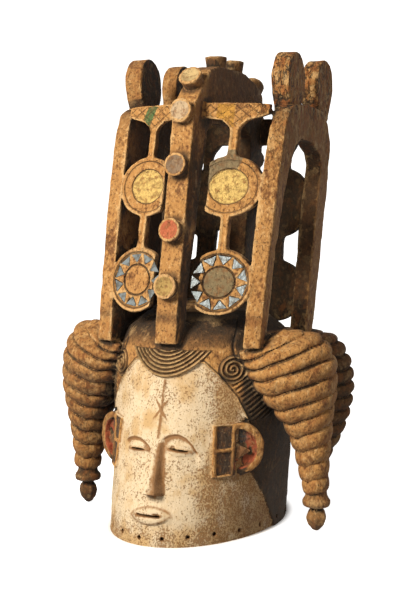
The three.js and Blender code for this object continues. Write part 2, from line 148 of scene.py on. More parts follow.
def in_outline(x: Array, y: Array, points: Outline) -> Array:
    """Signed distance in a plane to a closed outline, below 0 inside it.

    Args:
        x, y: the places.
        points: the outline's corners.

    Returns:
        Signed distances.
    """
    closed = [*points, points[0]]
    inside = np.zeros(np.broadcast(x, y).shape, bool)
    for (ax, ay), (bx, by) in zip(closed, closed[1:]):
        if ay == by:
            continue
        crosses = (ay > y) != (by > y)
        inside ^= crosses & (x < (bx - ax) * (y - ay) / (by - ay) + ax)
    return np.where(inside, -1.0, 1.0) * to_line(x, y, closed)


def smoothed(raster: Array) -> Array:
    """A raster averaged over three by three points, twice.

    Args:
        raster: the values.

    Returns:
        The smoother values.
    """
    for _ in range(2):
        for axis in (0, 1):
            count = raster.shape[axis]
            padded = np.concatenate([raster.take([0], axis), raster, raster.take([-1], axis)], axis)
            raster = sum(padded.take(range(shift, shift + count), axis) for shift in range(3)) / 3
    return raster


def mirrored(side: int, low: Triple, high: Triple) -> tuple[Triple, Triple]:
    """Lowest and highest corners on one side of the mask of a space given for +X."""
    first, last = sorted((side * low[0], side * high[0]))
    return (first, *low[1:]), (last, *high[1:])


class Raster:
    """Values on a flat grid, read anywhere between its points."""

    def __init__(self, low: Pair, high: Pair, pitch: float = 1.0) -> None:
        """Lays the grid's points from low to high.

        Args:
            low, high: opposite corners.
            pitch: distance between points.
        """
        self.low = low
        self.pitch = pitch
        axes = [np.arange(a, b + pitch, pitch) for a, b in zip(low, high)]
        self.u, self.v = np.meshgrid(*axes, indexing="ij")
        self.layers: dict[str, Array] = {}

    def __setitem__(self, name: str, values: Array) -> None:
        """Keeps a layer of values."""
        self.layers[name] = values.astype(np.float32)

    def read(self, names: Iterable[str], u: Array, v: Array) -> list[Array]:
        """Reads layers at places.

        Args:
            names: the layers.
            u: first coordinates.
            v: second coordinates.

        Returns:
            One array for each layer.
        """
        rows, columns = self.u.shape
        a = np.clip((u - self.low[0]) / self.pitch, 0, rows - 1.001)
        b = np.clip((v - self.low[1]) / self.pitch, 0, columns - 1.001)
        i, j = a.astype(np.int32), b.astype(np.int32)
        a, b = (a - i).astype(np.float32), (b - j).astype(np.float32)
        at = i * columns + j
        out = []
        for name in names:
            flat = self.layers[name].ravel()
            near = flat[at] * (1 - b) + flat[at + 1] * b
            far = flat[at + columns] * (1 - b) + flat[at + columns + 1] * b
            out.append(near * (1 - a) + far * a)
        return out


class Drawing(Raster):
    """A flat outline with windows, as signed distances with softened corners."""

    MARGIN = 14

    def __init__(self, outline: Outline, windows: Iterable[Outline] = ()) -> None:
        """Draws the outline, cuts the windows and softens the corners.

        Args:
            outline: corners of the board.
            windows: corners of its openings.
        """
        places = np.array(outline)
        super().__init__(tuple(places.min(0) - self.MARGIN), tuple(places.max(0) + self.MARGIN))
        distance = in_outline(self.u, self.v, outline)
        for window in windows:
            distance = np.maximum(distance, -in_outline(self.u, self.v, window))
        self["edge"] = smoothed(distance)

    def edge(self, u: Array, v: Array) -> Array:
        """Signed distances to the drawing's edge."""
        return self.read(["edge"], u, v)[0]


class Smooth:
    """A value that follows a list of [value, height] pairs without kinks."""

    BEYOND = 20
    ROUNDING = 7

    def __init__(self, pairs: Outline) -> None:
        """Samples the pairs every millimetre and rounds the kinks.

        Args:
            pairs: places and values that the curve passes through.
        """
        values, heights = np.array(pairs, float).T
        self.heights = np.arange(heights.min() - self.BEYOND, heights.max() + self.BEYOND)
        line = np.interp(self.heights, heights, values)
        slope = (values[1] - values[0]) / (heights[1] - heights[0])
        line += slope * np.minimum(self.heights - heights[0], 0)
        kernel = np.hanning(2 * self.ROUNDING + 1)
        self.values = np.convolve(np.pad(line, self.ROUNDING, "edge"), kernel / kernel.sum(), "valid")
        self.slopes = np.gradient(self.values)

    def __call__(self, height: Array) -> Array:
        """The value at a height."""
        return np.interp(height, self.heights, self.values).astype(np.float32)

    def slope(self, height: Array) -> Array:
        """How fast the value changes at a height."""
        return np.interp(height, self.heights, self.slopes).astype(np.float32)


def curve(points: Outline, share: Array) -> Array:
    """A smooth curve through points, evenly spaced by number.

    Args:
        points: the points.
        share: places along it, 0 at the first point and 1 at the last.

    Returns:
        A point for each share; beyond the ends it goes straight on.
    """
    values = np.array(points, float).reshape(len(points), -1)
    last = len(values) - 1
    at = np.clip(share, 0, 1) * last
    i = np.minimum(at.astype(int), last - 1)
    t = (at - i)[:, None]
    before, after = values[np.maximum(i - 1, 0)], values[np.minimum(i + 2, last)]
    here, ahead = values[i], values[i + 1]
    v0, v1 = (ahead - before) / 2, (after - here) / 2
    bend = (2 * here - 2 * ahead + v0 + v1) * t**3 + (-3 * here + 3 * ahead - 2 * v0 - v1) * t**2
    out = bend + v0 * t + here
    over = (np.maximum(share - 1, 0) * last)[:, None] * (values[-1] - values[-2])
    under = (np.minimum(share, 0) * last)[:, None] * (values[1] - values[0])
    return out + over + under


# The grid that holds the carving

class Block:
    """Signed distances to the carving on a grid of points, below 0 in the wood."""

    def __init__(self, low: Triple, high: Triple, pitch: float) -> None:
        """Lays an empty grid between two corners."""
        self.pitch = pitch
        self.axes = [np.arange(a, b + pitch, pitch, dtype=np.float32) for a, b in zip(low, high)]
        self.values = np.full([len(axis) for axis in self.axes], FAR, np.float32)

    def patch(self, low: Triple, high: Triple) -> tuple[tuple[slice, ...], list[Array]]:
        """The part of the grid between two corners, as slices and coordinates."""
        slices = tuple(
            slice(int(np.searchsorted(axis, a)), int(np.searchsorted(axis, b, "right")))
            for axis, a, b in zip(self.axes, low, high))
        shapes = ((-1, 1, 1), (1, -1, 1), (1, 1, -1))
        return slices, [axis[s].reshape(shape) for axis, s, shape in zip(self.axes, slices, shapes)]

    def add(self, low: Triple, high: Triple, shape: Callable[..., Array], blend: float = 1.5) -> None:
        """Joins a shape to the wood.

        Args:
            low: lowest corner of the space round the shape.
            high: highest corner of that space.
            shape: gives distances from x, y and z.
            blend: reach of the fillet where it meets the wood.
        """
        slices, places = self.patch(low, high)
        self.values[slices] = soft_union(self.values[slices], shape(*places), blend)

    def cut(self, low: Triple, high: Triple, shape: Callable[..., Array], blend: float = 1.0) -> None:
        """Takes a shape out of the wood, with the same arguments as add."""
        slices, places = self.patch(low, high)
        self.values[slices] = soft_cut(self.values[slices], shape(*places), blend)

    def read(self, places: Array) -> Array:
        """Distances at places between the grid's points.

        Args:
            places: rows of x, y and z.

        Returns:
            One distance for each place.
        """
        at = (places - [axis[0] for axis in self.axes]) / self.pitch
        at = np.clip(at, 0, np.array(self.values.shape) - 1.001)
        i = at.astype(np.int64)
        t = (at - i).astype(np.float32)
        flat, (_, ny, nz) = self.values.ravel(), self.values.shape
        start = (i[:, 0] * ny + i[:, 1]) * nz + i[:, 2]
        total = np.zeros(len(places), np.float32)
        for corner in range(8):
            step = [(corner >> bit) & 1 for bit in range(3)]
            weight = np.prod([t[:, k] if s else 1 - t[:, k] for k, s in enumerate(step)], axis=0)
            total += weight * flat[start + (step[0] * ny + step[1]) * nz + step[2]]
        return total

    def slope(self, places: Array) -> Array:
        """Directions out of the wood at places, of length 1."""
        reach = 0.8 * self.pitch
        out = np.stack([
            self.read(places + reach * np.eye(3)[k]) - self.read(places - reach * np.eye(3)[k])
            for k in range(3)], 1)
        return out / np.maximum(np.linalg.norm(out, axis=1, keepdims=True), 1e-6)

    def skin(self) -> tuple[Array, Array]:
        """The carving's surface.

        Returns:
            Points and four-sided faces, wound to look outwards.
        """
        values = self.values
        inside = values < 0
        shape = tuple(n - 1 for n in values.shape)
        count = np.zeros(shape, np.uint8)
        corners = [((c >> 2) & 1, (c >> 1) & 1, c & 1) for c in range(8)]
        for a, b, c in corners:
            count += inside[a:a + shape[0], b:b + shape[1], c:c + shape[2]]
        cells = np.nonzero((count > 0) & (count < 8))
        number = np.full(shape, -1, np.int32)
        number[cells] = np.arange(len(cells[0]), dtype=np.int32)
        at = [values[cells[0] + a, cells[1] + b, cells[2] + c] for a, b, c in corners]
        total, hits = np.zeros((len(cells[0]), 3), np.float32), np.zeros(len(cells[0]), np.float32)
        for first in range(8):
            for axis in range(3):
                bit = 4 >> axis
                if first & bit:
                    continue
                second = first | bit
                crosses = (at[first] < 0) != (at[second] < 0)
                gap = np.where(crosses, at[first] - at[second], 1)
                point = np.tile(np.array(corners[first], np.float32), (len(hits), 1))
                point[:, axis] += at[first] / gap
                total += point * crosses[:, None]
                hits += crosses
        points = np.stack(cells, 1) + total / hits[:, None]
        points = points * self.pitch + np.array([axis[0] for axis in self.axes])
        faces = []
        for axis in range(3):
            b, c = (axis + 1) % 3, (axis + 2) % 3
            lead = [slice(None)] * 3
            trail = [slice(None)] * 3
            lead[axis], trail[axis] = slice(1, None), slice(None, -1)
            edges = np.array(np.nonzero(inside[tuple(lead)] != inside[tuple(trail)]))
            edges = edges[:, (edges[b] > 0) & (edges[c] > 0)]
            edges = edges[:, (edges[b] < shape[b]) & (edges[c] < shape[c])]
            ring = []
            for db, dc in ((0, 0), (1, 0), (1, 1), (0, 1)):
                cell = edges.copy()
                cell[b] -= db
                cell[c] -= dc
                ring.append(number[tuple(cell)])
            quads = np.stack(ring, 1)
            outwards = inside[tuple(edges)]
            faces.append(np.where(outwards[:, None], quads, quads[:, ::-1]))
        return points, np.concatenate(faces)


# The helmet

@dataclass
class Helmet:
    """The hollow head: an upright oval whose front, back and sides follow three profiles."""

    wall: float = 10.0
    top: float = 268.0
    front: Outline = (
        (-160.6, 0), (-155, 36), (-144, 75), (-133, 110), (-121, 152), (-111, 190), (-102, 216),
        (-89, 238), (-62, 256), (-28, 265), (9, 268))
    back: Outline = (
        (132, 0), (132, 36), (133, 75), (134, 110), (134, 152), (126, 190), (115, 216), (101, 238),
        (74, 256), (42, 265), (11, 268))
    width: Outline = (
        (99, 0), (100, 36), (101, 75), (103, 110), (107, 152), (108, 190), (105, 216), (95, 238),
        (69, 256), (38, 265), (1, 268))
    hairline: Outline = (
        (-0.05, 188), (0.12, 191), (0.26, 198), (0.37, 207), (0.42, 207), (0.59, 191), (0.80, 166),
        (0.97, 137), (1.06, 100), (1.11, 76), (1.32, 44), (1.52, 8), (1.54, -10))

    def __post_init__(self) -> None:
        """Prepares the smooth profiles."""
        half_depth, middle = [], []
        for (f, z), (b, _) in zip(self.front, self.back):
            half_depth.append(((b - f) / 2, z))
            middle.append(((b + f) / 2, z))
        self.half = Smooth(self.width)
        self.depth = Smooth(half_depth)
        self.middle = Smooth(middle)

    def turn(self, x: Array, y: Array, z: Array) -> Array:
        """Angle round the head, 0 at the face and growing towards +X."""
        return np.arctan2(x / self.half(z), (self.middle(z) - y) / self.depth(z))

    def place(self, turn: float, height: float, proud: float = 0) -> Array:
        """A point of the head's surface."""
        z = np.array(height, float)
        half, depth = float(self.half(z)) + proud, float(self.depth(z)) + proud
        return np.array([half * math.sin(turn), float(self.middle(z)) - depth * math.cos(turn), height])

    def bare(self, x: Array, y: Array, z: Array) -> Array:
        """Distance to the plain head.

        Args:
            x, y, z: places, in mm.

        Returns:
            Distances, below 0 inside.
        """
        a, b = np.maximum(self.half(z), 1), np.maximum(self.depth(z), 1)
        p, q = x / a, (y - self.middle(z)) / b
        ratio = np.sqrt(p * p + q * q) + 1e-6
        rise = p * p * self.half.slope(z) / a + q * q * self.depth.slope(z) / b
        rise = rise + q * self.middle.slope(z) / b
        steep = np.sqrt((p / a) ** 2 + (q / b) ** 2 + rise**2) / ratio
        near = (ratio - 1) / np.maximum(steep, 1e-4)
        far = 0.12 * (ratio - 1) * np.minimum(a, b)
        return np.maximum(np.where(ratio > 1, np.maximum(near, far), near), z - self.top)

    def from_hairline(self, turn: Array, z: Array) -> Array:
        """Distance from the line between face and hair, above 0 on the face."""
        line = [(turned * 100, height) for turned, height in self.hairline]
        return -in_outline(np.abs(turn) * 100, z, [*line, (-5, -10)])

    def cavity(self, x: Array, y: Array, z: Array) -> Array:
        """Distance to the hollow inside; the wall is twice as thick at the top."""
        return self.bare(x, y, z) + self.wall + self.wall * smoothstep(200, 262, z)


@dataclass(frozen=True)
class Face:
    """The carved face: nose, eyes, mouth, forehead ridge and the blocks at the temples."""

    nose_tip: float = 59.5
    nose_top: float = 117.0
    eye_across: float = 27.0
    slit_half: float = 12.6
    mouth_across: float = 1.5
    mouth_height: float = 34.8
    mouth_slant: float = 0.04
    cross_height: float = 153.0
    temple_across: float = 75.0
    temple_height: float = 106.0
    temple_slant: float = 0.12
    temple_half_height: float = 30.0

    def relief(self, x: Array, z: Array, turn: Array) -> Array:
        """How far the face stands out of the plain head at each place."""
        middle = self.nose(x, z) + self.eyes(x, z) + self.mouth(x, z) + self.forehead(x, z)
        return middle + self.temple(turn, z)

    def nose(self, x: Array, z: Array) -> Array:
        """A long straight ridge with steep sides that widens to the tip.

        Args:
            x, z: places seen from the front.

        Returns:
            How far it stands out, in mm.
        """
        down = np.clip((self.nose_top - z) / (self.nose_top - self.nose_tip), 0, 1)
        middle = 2.0 + 1.5 * down
        half = 5.4 + 5.0 * down + 3.2 * smoothstep(0.72, 1.0, down)
        proud = 3.0 + 12.0 * down
        body = proud * (1 - smoothstep(0.50, 1.08, np.abs(x - middle) / half))
        ends = smoothstep(self.nose_tip - 2.5, self.nose_tip + 1.5, z) * (1 - smoothstep(109, 122, z))
        return body * ends

    def under_brow(self, x: Array, z: Array) -> Array:
        """How far a place lies below the brow's arch; the mask's right brow is lower and flatter.

        Args:
            x, z: places seen from the front.

        Returns:
            Heights, above 0 below the brow.
        """
        u = np.abs(x)
        left = 125 - np.where(u > 22, 0.035, 0.022) * (u - 22) ** 2
        right = 118 - 0.020 * (u - 30) ** 2
        return left + (right - left) * smoothstep(-5, 5, -x) - z

    def from_slit(self, x: Array, z: Array) -> tuple[Array, Array]:
        """Distance along an eye's slit from its middle, and height above it."""
        u = np.abs(x) - self.eye_across
        left, right = 107.6 - 0.15 * u, 105.2 - 0.05 * u
        return u, z - left - (right - left) * smoothstep(-5, 5, -x)

    def eyes(self, x: Array, z: Array) -> Array:
        """Two shallow sockets under arched brows, each with a closed lid and a narrow slit.

        Args:
            x, z: places seen from the front.

        Returns:
            How far it stands out, in mm.
        """
        under = self.under_brow(x, z)
        u, rise = self.from_slit(x, z)
        wide = 1 - smoothstep(17, 24.5, np.abs(u))
        socket = -2.2 * smoothstep(-0.8, 1.6, under) * (1 - smoothstep(7, 24, under)) * wide
        arch = 0.7 * bell(under + 1.8, 3.0) * wide
        ball = 2.5 * np.sqrt(np.clip(1 - (u / 17.0) ** 2 - (rise / 6.6) ** 2, 0, 1))
        lids = 0.7 * bell(np.abs(rise) - 2.4 * np.clip(1 - (u / 14) ** 2, 0, 1), 1.6) * (np.abs(u) < 14)
        tear = -1.0 * bell(to_line(x, z, [(44.5, 106.5), (52, 100.5)]), 2.0)
        return socket + arch + ball + lids + tear

    def mouth(self, x: Array, z: Array) -> Array:
        """Full lips round a narrow slit.

        Args:
            x, z: places seen from the front.

        Returns:
            How far it stands out, in mm.
        """
        e = np.clip(np.abs(x - self.mouth_across) / 26.0, 0, 1)
        rise = z - self.mouth_height + self.mouth_slant * x
        reach = np.where(rise > 0, 8.6, 9.2) * (1 - e * e) + 1.2
        bulge = np.sqrt(np.clip(1 - ((np.abs(rise) / reach - 0.32) / 0.74) ** 2, 0, 1))
        groove = -1.6 * bell(rise, 1.8) * (1 - smoothstep(12, 17, np.abs(x)))
        dimple = 1.0 * bell(x - self.mouth_across, 4.0) * bell(rise - 13, 5)
        return 4.2 * bulge * (1 - e**3) + groove - dimple

    def from_cross(self, x: Array, z: Array) -> tuple[Array, Array]:
        """Distances to the arms of the forehead's cross and to its middle."""
        dz = z - self.cross_height
        arms = np.minimum(np.abs(x * 0.8 - dz * 0.6), np.abs(x * 0.8 + dz * 0.6))
        return arms, np.hypot(x, dz)

    def forehead(self, x: Array, z: Array) -> Array:
        """A thin upright ridge from the hair to the nose, with a small cross on it."""
        ridge = 1.3 * bell(x, 2.6) * smoothstep(112, 120, z) * (1 - smoothstep(188, 192, z))
        arms, middle = self.from_cross(x, z)
        return ridge + 0.9 * bell(arms, 2.4) * smoothstep(0.0, 0.35, bell(middle, 20))

    def from_frame(self, turn: Array, z: Array, half: float) -> Array:
        """Distance to the frame at the temple, given half its width; below 0 inside."""
        across, up = self.in_temple(turn, z)
        return np.maximum(across - half, up - self.temple_half_height)

    def from_panel(self, turn: Array, z: Array, half: float, half_height: float) -> Array:
        """Distance to the nearer panel in the frame, given half its size; below 0 inside."""
        across, up = self.in_temple(turn, z)
        return np.maximum(across - half, np.abs(up - self.temple_half_height / 2) - half_height)

    def in_temple(self, turn: Array, z: Array) -> tuple[Array, Array]:
        """How far a place is across and up from the middle of the frame at the temple."""
        up = z - self.temple_height
        return np.abs(np.abs(turn) * 100 - self.temple_across + self.temple_slant * up), np.abs(up)

    def temple(self, turn: Array, z: Array) -> Array:
        """A raised frame with two sunk panels on each temple."""
        raised = 3.6 * (1 - smoothstep(-0.8, 0.8, self.from_frame(turn, z, 12.5)))
        return raised - 2.6 * (1 - smoothstep(-0.8, 0.6, self.from_panel(turn, z, 8.4, 13.2)))

    def slits(self, x: Array, z: Array) -> Array:
        """Distance to the openings of the eyes and the mouth, seen from the front.

        Args:
            x, z: places seen from the front.

        Returns:
            Distances, below 0 inside.
        """
        u, rise = self.from_slit(x, z)
        eye = np.abs(rise) - 1.35 * np.clip(1 - (u / self.slit_half) ** 2, -1, 1)
        rise = z - self.mouth_height + self.mouth_slant * x
        mouth = np.maximum(np.abs(rise) - 1.2, np.abs(x) - 14.5)
        return np.minimum(eye, mouth)


@dataclass(frozen=True)
class Hair:
    """The engraved hair: festoon over the brow, spirals, combed bands and partings.

    Places across are in hundredths of a radian round the head, heights in millimetres.
    """

    proud: float = 3.0
    brow: float = 189.0
    sweep: float = 49.0
    drop: float = 30.0
    ridge: float = 4.6
    first_ridge: float = 2.3
    spiral_at: Pair = (74.0, 199.0)
    spiral_turn: float = 5.0
    comb_pitch: float = 5.6
    comb_slant: float = 0.75
    parting: Pair = (74.5, 222.0)
    parting_bend: float = 0.018

    def relief(self, z: Array, turn: Array, face_edge: Array) -> Array:
        """How far the hair's carving stands out of the head.

        Args:
            z: height.
            turn: angle round the head.
            face_edge: distance from the hairline, above 0 on the face.

        Returns:
            Millimetres out of the plain head.
        """
        s = np.abs(turn) * 100
        hair = smoothstep(-0.8, 0.8, -face_edge)
        cap = self.proud * hair
        border = 2.0 * bell(face_edge - 0.6, 1.7) * (s > 40) * (z > 130)
        groove = -1.2 * bell(face_edge + 2.2, 1.8) * (s > 40) * (z > 60)
        festoon, in_festoon = self.festoon(s, z)
        spiral, in_spiral = self.spiral(s, z)
        rest = (1 - in_festoon) * (1 - in_spiral)
        comb = self.comb(s, z, face_edge) * rest
        lines = (comb + self.strands(turn, z) * rest) * hair
        return cap + border + groove + festoon * hair + spiral * hair + lines

    def festoon(self, s: Array, z: Array) -> tuple[Array, Array]:
        """Six curved ridges hanging over the brow, and where they are.

        Args:
            s, z: places along the wall and up it.

        Returns:
            How far they stand out, and a share from 0 to 1.
        """
        level = self.brow + self.drop * (s / self.sweep) ** 2
        across = (z - level) / np.sqrt(1 + (2 * self.drop * s / self.sweep**2) ** 2)
        inside = smoothstep(-1.0, 0.5, across) * (1 - smoothstep(219.5, 222, z))
        wave = np.cos(2 * np.pi * (across - self.first_ridge) / self.ridge)
        return 1.5 * wave * inside + 0.6 * inside, inside

    def spiral(self, s: Array, z: Array) -> tuple[Array, Array]:
        """A coiled ridge at each temple, and where it is.

        Args:
            s, z: places along the wall and up it.

        Returns:
            How far it stands out, and a share from 0 to 1.
        """
        du, dv = s - self.spiral_at[0], z - self.spiral_at[1]
        radius = np.hypot(du, dv)
        inside = 1 - smoothstep(15.5, 17.0, radius)
        wave = np.cos(2 * np.pi * (radius / self.spiral_turn + np.arctan2(dv, du) / (2 * np.pi)))
        return (1.5 * wave + 0.5) * inside, inside

    def comb(self, s: Array, z: Array, face_edge: Array) -> Array:
        """Slanting combed lines between the spiral and the back of the head.

        Args:
            s, z: places along the wall and up it.
            face_edge: distances from the face's edge.

        Returns:
            How far it stands out, in mm.
        """
        along = (z - self.comb_slant * (s - self.spiral_at[0])) / math.hypot(1, self.comb_slant)
        band = smoothstep(-34, -30, face_edge) * (1 - smoothstep(-4.5, -3, face_edge))
        band = band * smoothstep(138, 142, z) * (1 - smoothstep(196, 200, z)) * (s > 60)
        return 1.1 * np.cos(2 * np.pi * along / self.comb_pitch) * band

    def strands(self, turn: Array, z: Array) -> Array:
        """Upright grooves down the back of the head, and the partings on the dome.

        Args:
            turn, z: places round the head and up it.

        Returns:
            How far it stands out, in mm.
        """
        back = smoothstep(1.75, 2.0, np.abs(turn)) * (1 - smoothstep(176, 200, z))
        grooves = -1.5 * bell(np.mod(turn * 100 + 9, 18) - 9, 1.8) * back
        dome = smoothstep(207, 211, z) * (1 - smoothstep(248, 256, z))
        across, level = self.parting
        from_parting = np.abs(turn) * 100 - across - self.parting_bend * (z - level) ** 2
        return grooves - 1.4 * bell(from_parting, 2.6) * dome


@dataclass(frozen=True)
class Ear:
    """A cupped ear that stands across the side of the head and opens forwards."""

    height: float = 106.5
    reach: float = 29.0
    half_height: float = 31.0
    thickness: float = 10.0
    root_turn: float = 0.93
    rim: float = 8.0
    first_turn: float = 0.885
    outwards: Pair = (0.85, 0.52)
    facing: Pair = (0.52, -0.85)

    def local(self, head: Helmet, x: Array, y: Array, z: Array) -> tuple[Array, Array, Array]:
        """Coordinates along the ear's plate, up and out of its face, for the side that x is on.

        Args:
            head: what the ear stands on.
            x, y, z: places, in mm.

        Returns:
            The three coordinates, in mm.
        """
        root = head.place(self.root_turn, self.height)
        dx, dy = np.abs(x) - root[0], y - root[1]
        u = dx * self.outwards[0] + dy * self.outwards[1]
        w = dx * self.facing[0] + dy * self.facing[1]
        return u, z - self.height, w

    def in_cup(self, u: Array, v: Array) -> Array:
        """Place in the cup: 0 in its middle and 1 at its edge."""
        return np.hypot((u + 2) / (self.reach - self.rim), v / (self.half_height - self.rim))

    def from_lobe(self, u: Array, v: Array) -> Array:
        """How far a place is from the wedge that stands in the cup, below 0 inside."""
        return np.abs(v + 3) - 11 * (1 - (u + 6) / 19)

    def distance(self, head: Helmet, x: Array, y: Array, z: Array) -> Array:
        """Distance to the ear.

        Args:
            head: what the ear stands on.
            x, y, z: places, in mm.

        Returns:
            Distances, below 0 inside.
        """
        u, v, w = self.local(head, x, y, z)
        edge = (np.hypot(u / self.reach, v / self.half_height) - 1) * self.reach
        plate = edged(edge, np.abs(w) - self.thickness / 2, 2.8)
        across = self.reach + self.half_height - 2 * self.rim
        cup = np.maximum((self.in_cup(u, v) - 1) * across / 2, -(w + 1.2))
        lobe = np.maximum(0.75 * self.from_lobe(u, v), np.abs(w) - 4.5)
        return soft_union(soft_cut(plate, cup, 2.0), lobe, 2.0)


# The coils of hair

@dataclass
class Coil:
    """A ribbed coil in an upright plane, with a flared collar and a leaf-shaped peg under it."""

    root: Pair
    bearing: float
    inner: Outline
    outer: Outline
    girth: Sequence[float]
    depths: Pair
    ribs: int = 11
    rib_depth: float = 7.0
    margin: float = 0.12
    collar: Outline = (
        (2.2, 1.5), (5.0, 4), (9.6, 10), (12.0, 18), (10.0, 25), (6.2, 30.5), (15.2, 32.0), (16.6, 35),
        (16.8, 39), (14.0, 43), (12.6, 46), (12.6, 50))

    def __post_init__(self) -> None:
        """Works out, over the coil's plane, how far along and how far across each place is."""
        share = np.linspace(-self.margin, 1 + self.margin, 221)
        a, b = curve(self.inner, share), curve(self.outer, share)
        girth = curve([(g, 0.0) for g in self.girth], np.clip(share, 0, 1))[:, 0]
        middle, half = (a + b) / 2, (b - a) / 2
        low, high = np.minimum(a, b).min(0) - 16, np.maximum(a, b).max(0) + 16
        self.plane = Raster(tuple(low), tuple(high), 1.5)
        u, v = self.plane.u, self.plane.v
        best = np.full(u.shape, 1e9)
        names = ("share", "across", "half", "girth")
        layers = {name: np.full(u.shape, value) for name, value in zip(names, (3.0, 3.0, 20.0, 20.0))}
        previous = None
        for i, t in enumerate(share):
            du, dv = u - middle[i, 0], v - middle[i, 1]
            hu, hv = half[i]
            size = math.hypot(hu, hv)
            side = (hu * dv - hv * du) / size
            across = (du * hu + dv * hv) / size**2
            if previous is not None:
                old_side, old_across = previous
                crosses = (side > 0) != (old_side > 0)
                part = old_side / np.where(crosses, old_side - side, 1)
                at = old_across + (across - old_across) * part
                better = crosses & (np.abs(at) < best)
                best = np.where(better, np.abs(at), best)
                found = (share[i - 1] + (t - share[i - 1]) * part, at, size, girth[i])
                for name, value in zip(names, found):
                    layers[name] = np.where(better, value, layers[name])
            previous = (side, across)
        for name in names:
            self.plane[name] = layers[name]
        steps = np.linalg.norm(np.diff(middle, axis=0), axis=1)
        self.length = float(steps.sum()) / (1 + 2 * self.margin)

    def local(self, x: Array, y: Array) -> tuple[Array, Array]:
        """Reach along the coil's plane and distance off it, for the side that x is on."""
        angle = math.radians(self.bearing)
        dx, dy = np.abs(x) - self.root[0], y - self.root[1]
        return dx * math.cos(angle) + dy * math.sin(angle), dx * math.sin(angle) - dy * math.cos(angle)

    def distance(self, x: Array, y: Array, z: Array) -> Array:
        """Distance to the ribbed part.

        Args:
            x, y, z: places, in mm.

        Returns:
            Distances, below 0 inside.
        """
        reach, off = self.local(x, y)
        v = np.broadcast_to(z, np.broadcast(reach, z).shape)
        share, across, half, girth = self.plane.read(("share", "across", "half", "girth"), reach, v)
        thick = off / girth
        ratio = np.sqrt(across**2 + thick**2) + 1e-4
        steep = np.sqrt((across / half) ** 2 + (thick / girth) ** 2) / ratio
        body = (ratio - 1) / np.maximum(steep, 0.01)
        within = np.mod(share * self.ribs + 0.06 * np.sin(9 * thick), 1) * 2 - 1
        depth = self.rib_depth * (1.15 - 0.55 * np.clip(share, 0, 1)) * smoothstep(-0.02, 0.10, share)
        swell = depth * (np.sqrt(np.clip(1 - within**2, 0, 1)) - 0.62)
        (au, av), (bu, bv) = self.inner[0], self.outer[0]
        du, dv = bu - au, bv - av
        before = (du * (v - (av + bv) / 2) - dv * (reach - (au + bu) / 2)) / math.hypot(du, dv)
        return np.maximum(body - swell, np.maximum((share - 1.0) * self.length, before - 2.0))

    def foot(self) -> Triple:
        """Where the collar's axis is, for the side of +X, and the height that it starts from.

        Returns:
            A place, in mm.
        """
        angle = math.radians(self.bearing)
        reach = (self.inner[-1][0] + self.outer[-1][0]) / 2
        x = self.root[0] + reach * math.cos(angle)
        y = self.root[1] + reach * math.sin(angle)
        return x, y, (self.inner[-1][1] + self.outer[-1][1]) / 2 + 4

    def end(self, x: Array, y: Array, z: Array) -> Array:
        """Distance to the collar and the peg.

        Args:
            x, y, z: places, in mm.

        Returns:
            Distances, below 0 inside.
        """
        cx, cy, top = self.foot()
        dx, dy = np.abs(x) - cx, y - cy
        radii, heights = zip(*self.collar, (13.5, top))
        radius = np.interp(z, heights, radii).astype(np.float32)
        around = np.hypot(dx, dy)
        faces = [np.abs(dx * math.cos(a) + dy * math.sin(a)) for a in (0.2, 1.25, 2.3)]
        faceted = np.maximum(np.maximum(faces[0], faces[1]), faces[2]) * 1.06
        from_axis = np.where(z < 31, faceted, around)
        return edged(0.85 * (from_axis - radius), np.maximum(self.collar[0][1] - z, z - top), 1.2)


FRONT_COIL = Coil(
    root=(88, -70), bearing=35, depths=(-110, 30),
    inner=[(-10, 216), (-2, 202), (7, 182), (27, 154), (46, 128), (58, 101), (65, 73), (71, 47)],
    outer=[(46, 244), (84, 238), (102, 212), (106, 180), (103, 152), (100, 118), (98, 84), (98, 53)],
    girth=[8, 29, 38, 37, 32, 26, 20, 16])
REAR_COIL = Coil(
    root=(72, 92), bearing=22, depths=(50, 176),
    inner=[(-24, 214), (-14, 190), (-5, 168), (2, 146), (9, 122), (16, 96), (21, 72), (25, 50)],
    outer=[(30, 230), (64, 220), (81, 196), (88, 168), (88, 140), (82, 112), (71, 84), (57, 56)],
    girth=[26, 29, 28, 25, 21, 17, 15, 13])


# The crest

class Hand(Enum):
    """The mask's own left and right."""

    LEFT = 1
    RIGHT = -1


@dataclass
class Slab:
    """A board cut to a drawing that is made from the side, as [depth, height]."""

    drawing: Drawing
    inner: float
    thickness: float
    flare: float = 0.0
    lean: float = 0.0
    foot: float = 224.0
    worn: float = 1.1

    def distance(self, x: Array, y: Array, z: Array) -> Array:
        """Distance to the board; x is counted outwards from the mask's middle.

        Args:
            x, y, z: places, in mm.

        Returns:
            Distances, below 0 inside.
        """
        across = x - self.flare * (z - self.foot)
        face = np.abs(across - self.inner - self.thickness / 2) - self.thickness / 2
        shape = np.broadcast(x, y, z).shape
        u = np.broadcast_to(y + self.lean * (self.inner + self.thickness - x), shape)
        side = self.drawing.edge(u, np.broadcast_to(z, shape))
        return edged(side, np.broadcast_to(face, shape), self.worn)


